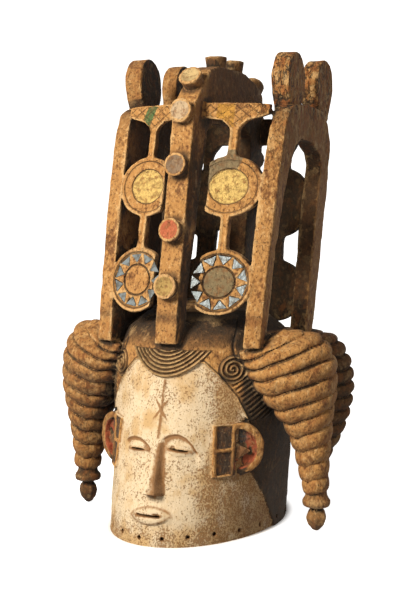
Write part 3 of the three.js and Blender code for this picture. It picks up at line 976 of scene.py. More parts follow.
@dataclass(frozen=True)
class Knob:
    """A flared drum with a dished face. Its foot is a depth and a height; its tilt is 0 forwards, 90 up."""

    foot: Pair
    tilt: float
    proud: float
    radius: float = 14.5
    sunk: float = 6.0

    def local(self, x: Array, y: Array, z: Array) -> tuple[Array, Array]:
        """Height above the foot along the drum's axis, and distance from the axis.

        Args:
            x, y, z: places, in mm.

        Returns:
            Heights and distances, in mm.
        """
        angle = math.radians(self.tilt)
        dy, dz = y - self.foot[0], z - self.foot[1]
        rise = -dy * math.cos(angle) + dz * math.sin(angle)
        return rise, np.sqrt(x * x + (dy * math.sin(angle) + dz * math.cos(angle)) ** 2)

    def distance(self, x: Array, y: Array, z: Array) -> Array:
        """Distance to the drum.

        Args:
            x, y, z: places, in mm.

        Returns:
            Distances, below 0 inside.
        """
        rise, around = self.local(x, y, z)
        share = np.clip((rise + self.sunk) / (self.proud + self.sunk), 0, 1)
        side = around - (self.radius - 3 + 3 * share)
        dish = 2.8 * (1 - smoothstep(0.25, 0.86, around / self.radius))
        return edged(side, np.maximum(rise - self.proud + dish, -self.sunk - rise), 1.1)


@dataclass(frozen=True)
class Crest:
    """Arches, finials and knobs; outlines are drawn from the side as [depth, height]."""

    side_outline: Outline = (
        (-81, 224), (-71, 280), (-59, 338), (-45, 396), (-28, 456), (-17, 488), (-8, 502), (8, 510),
        (60, 513), (110, 507), (132, 492), (146, 470), (136, 395), (123, 330), (109, 266), (98, 222),
        (96, 190), (40, 190), (-20, 200), (-52, 224))
    wide_window: Outline = (
        (-59, 240), (-51, 280), (-38, 338), (-18, 396), (4, 446), (16, 462), (38, 470), (74, 467),
        (104, 454), (113, 440), (101, 395), (91, 332), (79, 269), (74, 226), (20, 240))
    front_window: Outline = (
        (-18, 262), (-12, 290), (1, 350), (14, 410), (22, 450), (34, 464), (46, 464), (40, 420),
        (26, 350), (16, 290), (10, 262))
    rear_window: Outline = (
        (48, 240), (54, 290), (66, 350), (76, 420), (80, 464), (94, 459), (112, 442), (101, 395),
        (91, 332), (79, 269), (74, 230))
    centre_outline: Outline = (
        (-111, 228), (-104, 283), (-92, 338), (-72, 440), (-62, 490), (-55, 512), (-12, 554), (14, 560),
        (100, 558), (134, 547), (154, 533), (161, 512), (152, 449), (134, 338), (118, 250), (112, 200),
        (40, 215), (-30, 215), (-82, 228))
    centre_window: Outline = (
        (-83, 250), (-76, 290), (-60, 345), (-34, 440), (-22, 478), (-4, 490), (98, 490), (116, 476),
        (112, 440), (98, 345), (86, 290), (80, 248), (20, 260), (-50, 255))
    finial_depths: Pair = (28, 131)
    finial_height: float = 541
    finial_half: Pair = (30, 34)
    neck: float = 506
    flare: float = 0.028
    knobs: tuple[Knob, ...] = (
        Knob((-103, 294), 12, 10), Knob((-91, 360), 12, 10), Knob((-75, 436), 12, 10),
        Knob((-60, 500), 12, 10), Knob((-32, 536), 42, 14), Knob((34, 560), 90, 14),
        Knob((88, 559), 92, 14), Knob((150, 538), 132, 14), Knob((129, 310), 192, 10),
        Knob((142, 380), 192, 10), Knob((153, 450), 192, 10))

    def side_arch(self, hand: Hand) -> Slab:
        """The arch over one side; the two differ in their windows."""
        windows = [self.wide_window] if hand is Hand.LEFT else [self.front_window, self.rear_window]
        drawing = Drawing(self.side_outline, windows)
        return Slab(drawing, inner=87, thickness=20, flare=self.flare, lean=0.22)

    def finial(self, depth: float) -> Slab:
        """A round paddle on a neck, on top of a side arch.

        Args:
            depth: where it stands from front to back.

        Returns:
            The paddle.
        """
        neck, centre = self.neck, self.finial_height
        outline = [(-16, neck - 10), (-17, neck), (-27, centre - 18)]
        start = math.pi * 1.16
        for i in range(15):
            angle = start - (i / 14) * (2 * start - math.pi)
            half, half_height = self.finial_half
            outline.append((half * math.cos(angle), centre + half_height * math.sin(angle)))
        outline += [(27, centre - 18), (17, neck), (16, neck - 10)]
        drawing = Drawing([(u + depth, v) for u, v in outline])
        return Slab(drawing, inner=79, thickness=23, flare=self.flare, worn=2.2)

    def centre_arch(self) -> Slab:
        """The deep arch down the middle."""
        return Slab(Drawing(self.centre_outline, [self.centre_window]), inner=-14.2, thickness=28.4)


@dataclass
class Panel:
    """An openwork board in a bay of the crest: web, two discs and the stems between them.

    It leans back as it rises from its level. Its web hangs from the top by three depths, at the inner
    end, the middle and the outer end. A disc is a height, half a width and half a height. The two front
    discs are flat on the side next to the middle post.
    """

    depth: float
    level: float
    lean: float
    sign: int
    centre: float
    top: float
    drops: Triple
    stem: Pair
    upper: Triple
    lower: Triple
    slant: float = 0.21
    thickness: float = 11.0
    high_stem: float = 10.0
    disc_flat: float = 29.0
    lattice_pitch: float = 15.0
    lattice_slope: float = 1.25
    ray_count: int = 11
    pocket: float = 2.4

    def __post_init__(self) -> None:
        """Draws the board's outline."""
        half, c = self.high_stem / 2, self.centre
        inner, middle, outer = self.drops
        shoulder = self.top - 0.7 * middle
        self.web = [
            (c - half, self.top - middle), (c + half, self.top - middle), (c + 3 * half, shoulder),
            (94, self.top - outer), (94, self.top - 2), (4, self.top), (4, self.top - inner),
            (c - 3 * half, shoulder)]
        low, high = self.lower, self.upper
        self.raster = Raster((0, low[0] - low[2] - 14), (110, self.top + 14))
        u, v = self.raster.u, self.raster.v
        edge = in_outline(u, v, self.web)
        stems = (
            (c - half, c + half, high[0] + high[2] - 4, self.top - middle + 4),
            (*self.stem, low[0] + low[2] - 4, high[0] - high[2] + 4))
        for left, right, bottom, top in stems:
            across = np.abs(u - (left + right) / 2) - (right - left) / 2
            along = np.abs(v - (bottom + top) / 2) - (top - bottom) / 2
            edge = soft_union(edge, np.maximum(across, along), 4)
        for disc in (low, high):
            flat = self.disc_flat - u if self.sign > 0 else -99.0
            edge = soft_union(edge, np.maximum(self.from_disc(disc, u, v), flat), 3)
        self.raster["edge"] = smoothed(edge)

    def from_disc(self, disc: Triple, u: Array, v: Array) -> Array:
        """Distance in the board's plane to a disc's edge."""
        level, across, up = disc
        return (np.hypot((u - self.centre) / across, (v - level) / up) - 1) * (across + up) / 2

    def local(self, x: Array, y: Array, z: Array) -> tuple[Array, Array]:
        """Distance across from the mask's middle, and distance out of the board's middle plane."""
        across = np.abs(x)
        plane = self.depth + self.lean * (z - self.level)
        return across, self.sign * (plane + self.sign * self.slant * (across - self.centre) - y)

    def carving(self, u: Array, v: Array, edge: Array) -> Array:
        """How far the front of the board is cut back, or stands out.

        Args:
            u, v: places across the board and up it.
            edge: distances to its outline.

        Returns:
            Depths, in mm.
        """
        if self.sign < 0:
            return 0.5 * bell(edge + 4.5, 1.5)
        rim_line = 1.4 * bell(edge + 3.6, 1.7)
        high = self.from_disc(self.upper, u, v)
        low = self.from_disc(self.lower, u, v)
        web = smoothstep(1.0, 2.0, -in_outline(u, v, self.web))
        slanted, pitch = self.lattice_slope * v, self.lattice_pitch
        crossed = np.maximum(*(np.cos(2 * np.pi * line / pitch) for line in (u + slanted, u - slanted)))
        cut = np.maximum(rim_line, 0.9 * smoothstep(0.86, 0.98, crossed) * web)
        cut = np.maximum(cut, 2.2 * smoothstep(4.8, 6.0, -high))
        cut = np.maximum(cut, 4.4 * smoothstep(15.5, 17.0, -high))
        cut = np.maximum(cut, 2.2 * smoothstep(4.6, 5.8, -low))
        return np.maximum(cut, 4.2 * bell(-low - 20.5, 2.0))

    def distance(self, x: Array, y: Array, z: Array) -> Array:
        """Distance to the board.

        Args:
            x, y, z: places, in mm.

        Returns:
            Distances, below 0 inside.
        """
        across, out = self.local(x, y, z)
        shape = np.broadcast(across, y, z).shape
        u, v = np.broadcast_to(across, shape), np.broadcast_to(z, shape)
        edge = self.raster.read(["edge"], u, v)[0]
        half = self.thickness / 2
        front = out - half + self.carving(u, v, edge)
        return edged(edge, np.maximum(front, -out - half), 1.5)

    def rays(self) -> list[list[Pair]]:
        """The triangular pockets of the sunburst.

        Returns:
            Three corners for each pocket.
        """
        level, across, up = self.lower
        out = []
        for i in range(self.ray_count):
            middle = 2 * math.pi * (i + 0.5) / self.ray_count
            out.append([
                (self.centre + across * share * math.cos(angle), level + up * share * math.sin(angle))
                for share, angle in ((0.52, middle), (0.84, middle - 0.25), (0.84, middle + 0.25))])
        return out


FRONT_PANEL = Panel(
    depth=-75, level=300, lean=0.26, sign=1, centre=54, top=513, drops=(17, 32, 16), stem=(49, 59),
    upper=(412, 40.5, 36), lower=(300, 40, 38))
BACK_PANEL = Panel(
    depth=101, level=278, lean=0.21, sign=-1, centre=57, top=503, drops=(36, 50, 16), stem=(37, 62),
    upper=(391, 40, 44), lower=(278, 40, 39))


# The carving with its wear, its paints and its painted shade

@dataclass(frozen=True)
class PaintBox:
    """Colours of the small painted places."""

    ear: Colour = (0.33, 0.075, 0.030)
    ear_shade: Colour = (0.050, 0.046, 0.040)
    ear_lobe: Colour = (0.19, 0.085, 0.032)
    temple: Colour = (0.058, 0.036, 0.022)
    gold: Colour = (0.78, 0.53, 0.17)
    drab: Colour = (0.215, 0.155, 0.080)
    drab_centre: Colour = (0.205, 0.150, 0.075)
    green: Colour = (0.085, 0.135, 0.045)
    orange: Colour = (0.50, 0.25, 0.045)
    knobs: tuple[Colour, ...] = (
        (0.40, 0.26, 0.085), (0.46, 0.125, 0.055), (0.23, 0.155, 0.095), (0.50, 0.36, 0.22),
        (0.52, 0.37, 0.17))


@dataclass(frozen=True)
class Paint:
    """A small painted region: a colour and the distance from its edge, above 0 inside."""

    colour: Colour
    inside: Array


@dataclass(frozen=True)
class Places:
    """Points of the carving's mesh, and where each one is on it."""

    x: Array
    y: Array
    z: Array
    out: Array
    turn: Array
    shell: Array
    ear: tuple[Array, Array, Array]

    def on_ear(self, ear: Ear) -> Array:
        """Whether each point is on an ear."""
        u, v, w = self.ear
        return (np.hypot(u / ear.reach, v / ear.half_height) < 1.12) & (np.abs(w) < 7)


@dataclass
class Carving:
    """The whole block of wood: helmet, face, hair, coils and crest, as one mesh."""

    shift: float
    head: Helmet = field(default_factory=Helmet)
    face: Face = Face()
    hair: Hair = Hair()
    ear: Ear = Ear()
    crest: Crest = Crest()
    lacing_holes: int = 22
    lacing_radius: float = 2.2
    seed: int = 7

    def helmet(self, x: Array, y: Array, z: Array) -> Array:
        """Distance to the head with its face and hair carved.

        Args:
            x, y, z: places, in mm.

        Returns:
            Distances, below 0 inside.
        """
        turn = self.head.turn(x, y, z)
        plain = self.head.bare(x, y, z)
        across, height = np.broadcast_to(x, plain.shape), np.broadcast_to(z, plain.shape)
        edge = self.head.from_hairline(turn, height)
        ahead = np.abs(turn) < 1.5
        face = self.face.relief(across, height, turn) * ahead * smoothstep(-1, 1, edge)
        return plain - (self.hair.relief(height, turn, edge) + face)

    def ears(self, x: Array, y: Array, z: Array) -> Array:
        """Distance to the ear on the side that x is on."""
        return self.ear.distance(self.head, x, y, z)

    def block(self) -> Block:
        """The carving as distances on a grid.

        Returns:
            The filled grid.
        """
        grid = Block((-186, -172, -5), (186, 178, 582), PITCH)
        grid.add((-120, -185, -5), (120, 145, 276), self.helmet, 0)
        for coil in (FRONT_COIL, REAR_COIL):
            x, y, top = coil.foot()
            for side in SIDES:
                low, high = (40, coil.depths[0], 30), (184, coil.depths[1], 256)
                grid.add(*mirrored(side, low, high), coil.distance, 5)
                low, high = (x - 24, y - 24, 0), (x + 24, y + 24, top + 4)
                grid.add(*mirrored(side, low, high), coil.end, 2)
        for side in SIDES:
            grid.add(*mirrored(side, (60, -120, 66), (122, -30, 150)), self.ears, 3)
        self.add_crest(grid)
        self.hollow(grid)
        return grid

    def add_crest(self, grid: Block) -> None:
        """Joins arches, finials, panels and knobs.

        Args:
            grid: takes the shapes.
        """
        for hand in Hand:
            side = hand.value
            boards = [(self.crest.side_arch(hand), (78, -96, 184), (126, 162, 520))]
            boards += [
                (self.crest.finial(depth), (72, depth - 40, 490), (120, depth + 40, 582))
                for depth in self.crest.finial_depths]
            for slab, low, high in boards:
                shape = lambda x, y, z, slab=slab: slab.distance(side * x, y, z)
                grid.add(*mirrored(side, low, high), shape, 2.5)
        grid.add((-22, -120, 192), (22, 170, 568), self.crest.centre_arch().distance, 2.5)
        for panel, low_y, high_y in ((FRONT_PANEL, -110, 0), (BACK_PANEL, 70, 180)):
            low, high = (2, low_y, panel.lower[0] - 48), (104, high_y, panel.top + 8)
            for side in SIDES:
                grid.add(*mirrored(side, low, high), panel.distance, 2.5)
                for ray in panel.rays() if panel.sign > 0 else ():
                    self.pocket(grid, panel, ray, side)
            for depth, deep in zip(self.crest.finial_depths, (5.5, 4.5)):
                self.dent(grid, (side * 104, depth, 543), (deep if side > 0 else 3.5, 15, 18))
        for knob in self.crest.knobs:
            y, z = knob.foot
            grid.add((-22, y - 26, z - 26), (22, y + 26, min(z + 26, 582)), knob.distance, 1.5)

    def dent(self, grid: Block, at: Triple, reach: Triple) -> None:
        """Hollows a shallow worn oval out of a face."""
        shape = lambda x, y, z: min(reach) * (np.sqrt(sum(
            ((value - middle) / size) ** 2 for value, middle, size in zip((x, y, z), at, reach))) - 1)
        low, high = (tuple(a + way * (r + 3) for a, r in zip(at, reach)) for way in (-1, 1))
        grid.cut(low, high, shape, 1.5)

    def pocket(self, grid: Block, panel: Panel, ray: list[Pair], side: int) -> None:
        """Cuts one triangular pocket for a piece of mirror.

        Args:
            grid: is cut.
            panel: carries the sunburst.
            ray: corners of the pocket.
            side: 1 or -1, the sign of x.
        """
        us, vs = zip(*ray)
        bottom = panel.thickness / 2 - 2 - panel.pocket

        def shape(x: Array, y: Array, z: Array) -> Array:
            """Distance to the pocket.

            Args:
                x, y, z: places, in mm.

            Returns:
                Distances, below 0 inside.
            """
            across, out = panel.local(x, y, z)
            full = np.broadcast(across, y, z).shape
            edge = in_outline(np.broadcast_to(across, full), np.broadcast_to(z, full), ray)
            return np.maximum(edge, bottom - out)

        low = (min(us) - 4, panel.depth - 24, min(vs) - 4)
        high = (max(us) + 4, panel.depth + 24, max(vs) + 4)
        grid.cut(*mirrored(side, low, high), shape, 0)

    def hollow(self, grid: Block) -> None:
        """Cuts the inside, the slits, the lacing holes and a chip out of the rim.

        Args:
            grid: is cut.
        """
        grid.cut((-112, -170, -5), (112, 140, 262), self.head.cavity, 2)

        def slits(x: Array, y: Array, z: Array) -> Array:
            """Distance to the slits of the eyes and the mouth."""
            return np.broadcast_to(self.face.slits(x, z), np.broadcast(x, y, z).shape)

        for low, high in (((-46, -165, 98), (46, -106, 114)), ((-20, -175, 30), (20, -130, 40))):
            grid.cut(low, high, slits, 0.8)
        for i in range(self.lacing_holes):
            turn = -0.39 + 2 * math.pi * i / self.lacing_holes
            self.hole(grid, self.head.place(turn, 10 + 1.5 * math.sin(5 * i)))
        chip = self.head.place(1.92, 4, 4)
        shape = lambda x, y, z: np.sqrt(
            ((x - chip[0]) / 1.1) ** 2 + ((y - chip[1]) / 1.8) ** 2 + (z - chip[2]) ** 2) - 7
        grid.cut(tuple(chip - 20), tuple(chip + 20), shape, 2)

    def hole(self, grid: Block, at: Array) -> None:
        """Bores a lacing hole through the wall towards the middle of the head.

        Args:
            grid: is cut.
            at: where the bore meets the surface.
        """
        middle = float(self.head.middle(np.array(at[2])))
        out = np.array([at[0], at[1] - middle])
        out = out / np.linalg.norm(out)

        def shape(x: Array, y: Array, z: Array) -> Array:
            """Distance to the bore.

            Args:
                x, y, z: places, in mm.

            Returns:
                Distances, below 0 inside.
            """
            dx, dy, dz = x - at[0], y - at[1], z - at[2]
            off = dx * out[1] - dy * out[0]
            along = dx * out[0] + dy * out[1]
            return np.maximum(np.sqrt(off**2 + dz**2) - self.lacing_radius, np.abs(along) - 16)

        grid.cut(tuple(at - 18), tuple(at + [18, 18, 6]), shape, 1)

    def worked(self, places: Array, grid: Block) -> Array:
        """The surface with the unevenness of hand carving and of wear.

        Args:
            places: points of the skin.
            grid: gives the slope there.

        Returns:
            The moved points.
        """
        out = grid.slope(places)
        rng = np.random.default_rng(self.seed)
        push = np.zeros(len(places))
        for length, size in ((70, 0.45), (26, 0.25), (11, 0.14)):
            for _ in range(5):
                way = rng.normal(size=3) * (1, 1, 0.8)
                way *= 2 * np.pi / length / np.linalg.norm(way)
                push += size / 2.2 * np.sin(places @ way + rng.uniform(0, 2 * np.pi))
        from_hair = self.head.from_hairline(self.head.turn(*places.T), places[:, 2])
        push *= 1 - 0.6 * smoothstep(-2, 4, from_hair) * (places[:, 2] < 215)
        edge = np.clip((grid.read(places - 3.0 * out) + 3.0) / 3.0, 0, 1)
        nick = np.zeros(len(places))
        for _ in range(7):
            way = rng.normal(size=3)
            way *= 2 * np.pi / rng.uniform(11, 26) / np.linalg.norm(way)
            nick += np.sin(places @ way + rng.uniform(0, 2 * np.pi))
        push -= 2.0 * smoothstep(2.2, 4.4, nick) * smoothstep(0.25, 0.6, edge)
        return places + out * push[:, None]

    def build(self) -> bpy.types.Object:
        """Makes the mesh, thins it and gives its points their values.

        Returns:
            The carving.
        """
        grid = self.block()
        log.info("carving laid out on %s points", "x".join(map(str, grid.values.shape)))
        places, faces = grid.skin()
        log.info("skin has %d faces", len(faces))
        places = self.worked(places, grid)
        places[:, 1] += self.shift
        low, high = (np.array(corner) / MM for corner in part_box(CARVED_NODE))
        places = np.clip(places, low + 0.01, high - 0.01)
        obj = mesh_object("carving", places * MM, faces)
        thin(obj, MOST_TRIANGLES)
        self.tell(obj, grid)
        return obj

    def tell(self, obj: bpy.types.Object, grid: Block) -> None:
        """Keeps at each point of the mesh what the material has to know about it.

        Args:
            obj: the thinned mesh.
            grid: the distances that it was made from.
        """
        mesh = obj.data
        flat = np.zeros(len(mesh.vertices) * 3, np.float32)
        mesh.vertices.foreach_get("co", flat)
        points = flat.reshape(-1, 3) / MM
        points[:, 1] -= self.shift
        x, y, z = points.T
        out = grid.slope(points)

        def wood_over(reach: float, most: float = 1.0) -> Array:
            """How much wood stands over each point, within a reach out of it."""
            return np.clip((reach - grid.read(points + reach * out)) / reach, 0, most)

        def thin_under(reach: float) -> Array:
            """How little wood is under each point, within a reach into it."""
            return np.clip((grid.read(points - reach * out) + reach) / reach, 0, 1)

        # How much wood stands close over each point; the material paints shade in creases from it.
        crevice = sum(wood_over(r, 1.2) * share for r, share in ((1.6, 0.3), (3.5, 0.4), (6.0, 0.3)))
        worn = sum(thin_under(r) * share for r, share in ((1.8, 0.45), (3.5, 0.55)))
        # How much wood stands over each point farther out; the material paints shade in hollows and between
        # parts from it.
        deep = sum(wood_over(r) * share for r, share in ((10, 0.35), (18, 0.35), (30, 0.30)))
        turn, shell = self.head.turn(x, y, z), self.head.bare(x, y, z)
        at = Places(x, y, z, out, turn, shell, self.ear.local(self.head, x, y, z))
        on_ear = at.on_ear(self.ear)
        on_coil = (shell > 6) & (z < HEAD_TOP) & (np.abs(x) > 60)
        on_head = (shell < 8) & (shell > -4) & (z < HEAD_TOP)
        in_head = (shell < -4.5) & (z < HEAD_TOP)
        give(mesh, "face", self.from_face_edge(at, on_ear))
        # Stronger painted shade between the coils' ribs.
        give(mesh, "crevice", crevice * np.where(on_coil & ~on_ear, 1.7, 1.0))
        give(mesh, "worn", worn)
        give(mesh, "deep", deep)
        give(mesh, "inside", np.where(in_head, 1.0, 0.0) * (1 - smoothstep(-6.5, -3.5, shell)))
        give(mesh, "round", np.where(on_head, turn * 100, 400))
        give(mesh, "tone_and_shade", self.tone_and_shade(at))
        finial = (z > 500) & (np.abs(x) > 74)
        arch = (z > 430) & (np.abs(x) > 74)
        rough = np.where(finial, np.where(x > 0, 1.0, 0.3), np.where(arch & (x > 0), 0.6, 0.12))
        give(mesh, "rough", np.where(on_coil, 0.45, rough * (shell > 8)))
        give(mesh, "stain_and_shade", self.stain_and_shade(at))
        give(mesh, "flaky", self.flaky(at))
        self.tell_paint(mesh, at)

    def from_face_edge(self, at: Places, on_ear: Array) -> Array:
        """Distance from the edge of the white face, above 0 on it; ears and temples are kept out.

        Args:
            at: the mesh's points.
            on_ear: true on an ear.

        Returns:
            Distances, in mm.
        """
        near_shell = (at.shell < 20) & (at.shell > -5)
        face = np.where(near_shell, self.head.from_hairline(at.turn, at.z), OUTSIDE)
        proud = (at.shell > 3.8) | (at.shell > 0.6) & (np.abs(at.turn) > self.ear.first_turn)
        face = np.where(on_ear & proud, OUTSIDE, face)
        beside_frame = np.minimum(face, self.face.from_frame(at.turn, at.z, 12.7))
        return np.where(at.shell > 0.8, beside_frame, face)

    def tone_and_shade(self, at: Places) -> Array:
        """How dark the surface is, 0 worn ochre, 1 nearly black: dark paint and painted shade together.

        Args:
            at: the mesh's points.

        Returns:
            One value for each point.
        """
        x, y, z, out = at.x, at.y, at.z, at.out
        across, turned = np.abs(x), np.abs(at.turn)
        # The back of the head and a band behind the ears are painted dark; the dome is darker towards the
        # top.
        back = smoothstep(0.95, 1.3, turned) * (1 - smoothstep(200, 240, z))
        band = 0.9 * smoothstep(0.78, 0.95, turned) * (1 - smoothstep(175, 215, z))
        dome = 0.42 * smoothstep(216, 226, z) + 0.45 * smoothstep(248, 262, z)
        head = np.maximum(np.maximum(back, band), dome)
        sideways = out[:, 0] * np.sign(x)
        # The crest is darker towards the back, dark paint and painted shade together; faces turned to +X,
        # away from the key lamp, get painted shade.
        crest = 0.14 + 0.50 * smoothstep(-50, 40, y) + 0.10 * smoothstep(0.3, 0.9, out[:, 0])
        # Painted shade on the inner faces of the bays and of the side arches.
        inner = 0.8 * (across < 78) * (across > 19) * smoothstep(-60, -25, y)
        inner = np.maximum(inner, 0.80 * smoothstep(0.4, 0.9, -sideways) * (across < 90) * (across > 70))
        # Painted shade on the sides of the middle arch, less near its top.
        beside = smoothstep(0.4, 0.9, np.abs(out[:, 0])) * (across < 19) * (y > -112)
        inner = np.maximum(inner, (0.42 - 0.34 * smoothstep(440, 500, z)) * beside)
        # These caps keep the painted shade light on the arches' tops and outer faces.
        lightest = (
            ((z > 500) & (across < 19), 0.42), ((sideways > 0.4) & (across > 86), 0.34),
            ((z > 508) & (across > 74), 0.26))
        for where, most in lightest:
            crest = np.where(where, np.minimum(crest, most), crest)
        on_board, plane = FRONT_PANEL.local(x, y, z)
        on_panel = (np.abs(plane) < 7) & (on_board < 97)
        crest, inner = np.where(on_panel & (plane > 3), 0.08, crest), np.where(on_panel, 0.0, inner)
        # The coils are darker towards the back, on the -X side and at their collars.
        coils = 0.06 + 0.44 * smoothstep(20, 70, y) + 0.20 * (x < 0) + 0.28 * (1 - smoothstep(44, 52, z))
        # Painted shade on the faces of the coils that look down.
        coils = coils + 0.20 * smoothstep(0.0, 0.8, -out[:, 2])
        on_head = (at.shell < 6) & (z < HEAD_TOP)
        return np.where(on_head, head, np.where(z > 226, crest + inner, coils))

    def stain_and_shade(self, at: Places) -> Array:
        """Where the white of the face is painted brown: stains on the forehead's ridge and cross and round
        the slits and lips, and painted shade under the brows, beside the nose and under it, and along the
        lips' edges.

        Args:
            at: the mesh's points.

        Returns:
            Shares from 0 to 1.
        """
        x, z, face = at.x, at.z, self.face
        under = face.under_brow(x, z)
        u, rise = face.from_slit(x, z)
        wide = 1 - smoothstep(16, 23, np.abs(u))
        inner_end = 1 - smoothstep(-16, -4, u)
        # Brown brow lines with painted shade under them, more at the inner ends.
        brow = np.maximum(1.1 * bell(under - 1.2, 4.5), 0.75 * bell(under - 5, 9) * inner_end) * wide
        eye = 0.8 * bell(rise, 4.5) * (1 - smoothstep(13, 20, np.abs(u)))
        down = np.clip((face.nose_top - z) / 61, 0, 1)
        beside = x - 2.0 - 1.5 * down
        near_nose = smoothstep(-3.5, 1.5, beside) * (1 - smoothstep(8 + 4 * down, 12 + 4 * down, beside))
        near_nose = near_nose * smoothstep(54, 60, z) * (1 - smoothstep(112, 120, z))
        # Brown over the nose's +X side, with more painted shade where it turns away from the key lamp.
        nose = near_nose * (0.65 + 0.6 * smoothstep(0.1, 0.6, at.out[:, 0]))
        mouth = face.mouth_height - z + face.mouth_slant * x
        lips = 0.8 * bell(mouth, 4.5) * (1 - smoothstep(15, 22, np.abs(x)))
        e = np.clip(np.abs(x - face.mouth_across) / 27, 0, 1)
        # Painted shadow lines along the lips' edges.
        lip_edge = 0.60 * bell(np.abs(mouth) - 9.5 * (1 - e * e), 3.5)
        lips = np.maximum(lips, lip_edge * (np.abs(x - face.mouth_across) < 27))
        # Painted shadow under the nose.
        below = 0.9 * bell(np.hypot((x - 3) / 1.3, z - 57), 8)
        ridge = 0.75 * bell(x - 1.0, 3.8) * smoothstep(116, 122, z) * (1 - smoothstep(186, 190, z))
        arms, middle = face.from_cross(x, z)
        cross = 1.2 * bell(arms, 2.8) * bell(middle, 26)
        return np.clip(np.max([brow, eye, nose, lips, below, ridge, cross], axis=0), 0, 1)

    def flaky(self, at: Places) -> Array:
        """How thickly the white is specked: most on the mask's left cheek and near the rim."""
        cheek = smoothstep(0.35, 0.75, at.turn) * (1 - 0.25 * smoothstep(80, 125, at.z))
        low = 0.6 * (1 - smoothstep(8, 34, at.z))
        return np.clip(0.22 + np.maximum(cheek, low) + 0.15 * smoothstep(150, 185, at.z), 0, 1)

    def tell_paint(self, mesh: bpy.types.Mesh, at: Places) -> None:
        """Keeps the nearest painted region's colour and the distance from its edge.

        Args:
            mesh: takes the values.
            at: its points.
        """
        box = PaintBox()
        paints = self.head_paints(at, box) + self.panel_paints(mesh, at, box) + self.knob_paints(at, box)
        colours = np.array([paint.colour for paint in paints], np.float32)
        inside = np.stack([np.broadcast_to(paint.inside, at.x.shape) for paint in paints])
        give(mesh, "paint_edge", inside.max(0))
        give_colour(mesh, "paint", colours[inside.argmax(0)])

    def head_paints(self, at: Places, box: PaintBox) -> list[Paint]:
        """The red and dark of the ears, and the dark panels at the temples.

        Args:
            at: the mesh's points.
            box: the colours.

        Returns:
            The regions.
        """
        u, v, w = at.ear
        in_ear = (np.abs(w) < 12) & (at.shell > 0.6) & (at.z < 150) & (w > -2.5)
        in_ear = in_ear & (np.abs(at.turn) > self.ear.first_turn)
        ratio, lobe = self.ear.in_cup(u, v), self.ear.from_lobe(u, v)
        red = np.minimum(np.minimum(ratio - 0.52, 1.06 - ratio) * 26, 12 + 0.9 * u - v)
        grey = np.minimum((0.98 - ratio) * 26, v - 0.5 * u - 4)
        on_temple = (np.abs(at.shell) < 5) & (at.y < 0)
        panels = -self.face.from_panel(at.turn, at.z, 8.0, 12.8)
        return [
            Paint(box.ear, np.where(in_ear, np.minimum(red, lobe), OUTSIDE)),
            Paint(box.ear_shade, np.where(in_ear, np.minimum(grey, lobe), OUTSIDE)),
            Paint(box.ear_lobe, np.where(in_ear, -lobe - 0.5, OUTSIDE)),
            Paint(box.temple, np.where(on_temple, panels, OUTSIDE))]

    def panel_paints(self, mesh: bpy.types.Mesh, at: Places, box: PaintBox) -> list[Paint]:
        """The paints of the front panels; keeps where their webs, crusts, rims and sunbursts are too.

        Args:
            mesh: takes the values.
            at: its points.
            box: the colours.

        Returns:
            The regions.
        """
        x, z, panel = at.x, at.z, FRONT_PANEL
        across, plane = panel.local(x, at.y, z)
        front = (np.abs(plane) < 7) & (plane > 0)
        upper, lower = (-panel.from_disc(disc, across, z) for disc in (panel.upper, panel.lower))
        high, low = upper - 16.6, lower - 21.5
        sector = np.minimum(17 - np.abs(high + 8), 12 - across + 40 + (z - panel.upper[0]) * 0.5)
        on_sector = front & (high < -0.5) & (x > 0) & (z > 404)
        web = np.where(front, -in_outline(across, z, panel.web) - 1.5, OUTSIDE)
        green = np.minimum(web, 7 - np.abs(across - 66 + (z - 490) * 0.4))
        orange = np.minimum(web, 11 - np.abs(across - 42))
        give(mesh, "sun", np.where(front & (np.abs(z - panel.lower[0]) < 46), lower, 99))
        give(mesh, "web", web)
        give(mesh, "crust", np.where(front, high, OUTSIDE))
        give(mesh, "rim", np.where(front, np.maximum(upper, lower), OUTSIDE))
        return [
            Paint(box.gold, np.where(front, high, OUTSIDE)),
            Paint(box.drab, np.where(on_sector, np.minimum(sector, -high - 1.0), OUTSIDE)),
            Paint(box.drab_centre, np.where(front & (x > 0), low, OUTSIDE)),
            Paint(box.green, np.where(x < 0, green, OUTSIDE)),
            Paint(box.orange, np.where(x > 0, orange, OUTSIDE))]

    def knob_paints(self, at: Places, box: PaintBox) -> list[Paint]:
        """The painted dishes of the front knobs, from the lowest up.

        Args:
            at: the mesh's points.
            box: the colours.

        Returns:
            The regions.
        """
        paints = []
        for knob, colour in zip(self.crest.knobs, box.knobs):
            rise, around = knob.local(at.x, at.y, at.z)
            on_dish = (rise > knob.proud - 5) & (rise < knob.proud + 3)
            paints.append(Paint(colour, np.where(on_dish, 11.6 - around, OUTSIDE)))
        return paints


def mesh_object(name: str, points: Array, faces: Array) -> bpy.types.Object:
    """A mesh object of four-sided faces, in metres.

    Args:
        name: of the object.
        points: rows of x, y and z.
        faces: rows of four point numbers.

    Returns:
        The object, in the scene.
    """
    mesh = bpy.data.meshes.new(name)
    mesh.vertices.add(len(points))
    mesh.vertices.foreach_set("co", points.astype(np.float32).ravel())
    mesh.loops.add(faces.size)
    mesh.loops.foreach_set("vertex_index", faces.astype(np.int32).ravel())
    mesh.polygons.add(len(faces))
    mesh.polygons.foreach_set("loop_start", np.arange(0, faces.size, faces.shape[1], dtype=np.int32))
    mesh.update(calc_edges=True)
    mesh.validate()
    obj = bpy.data.objects.new(name, mesh)
    bpy.context.scene.collection.objects.link(obj)
    return obj


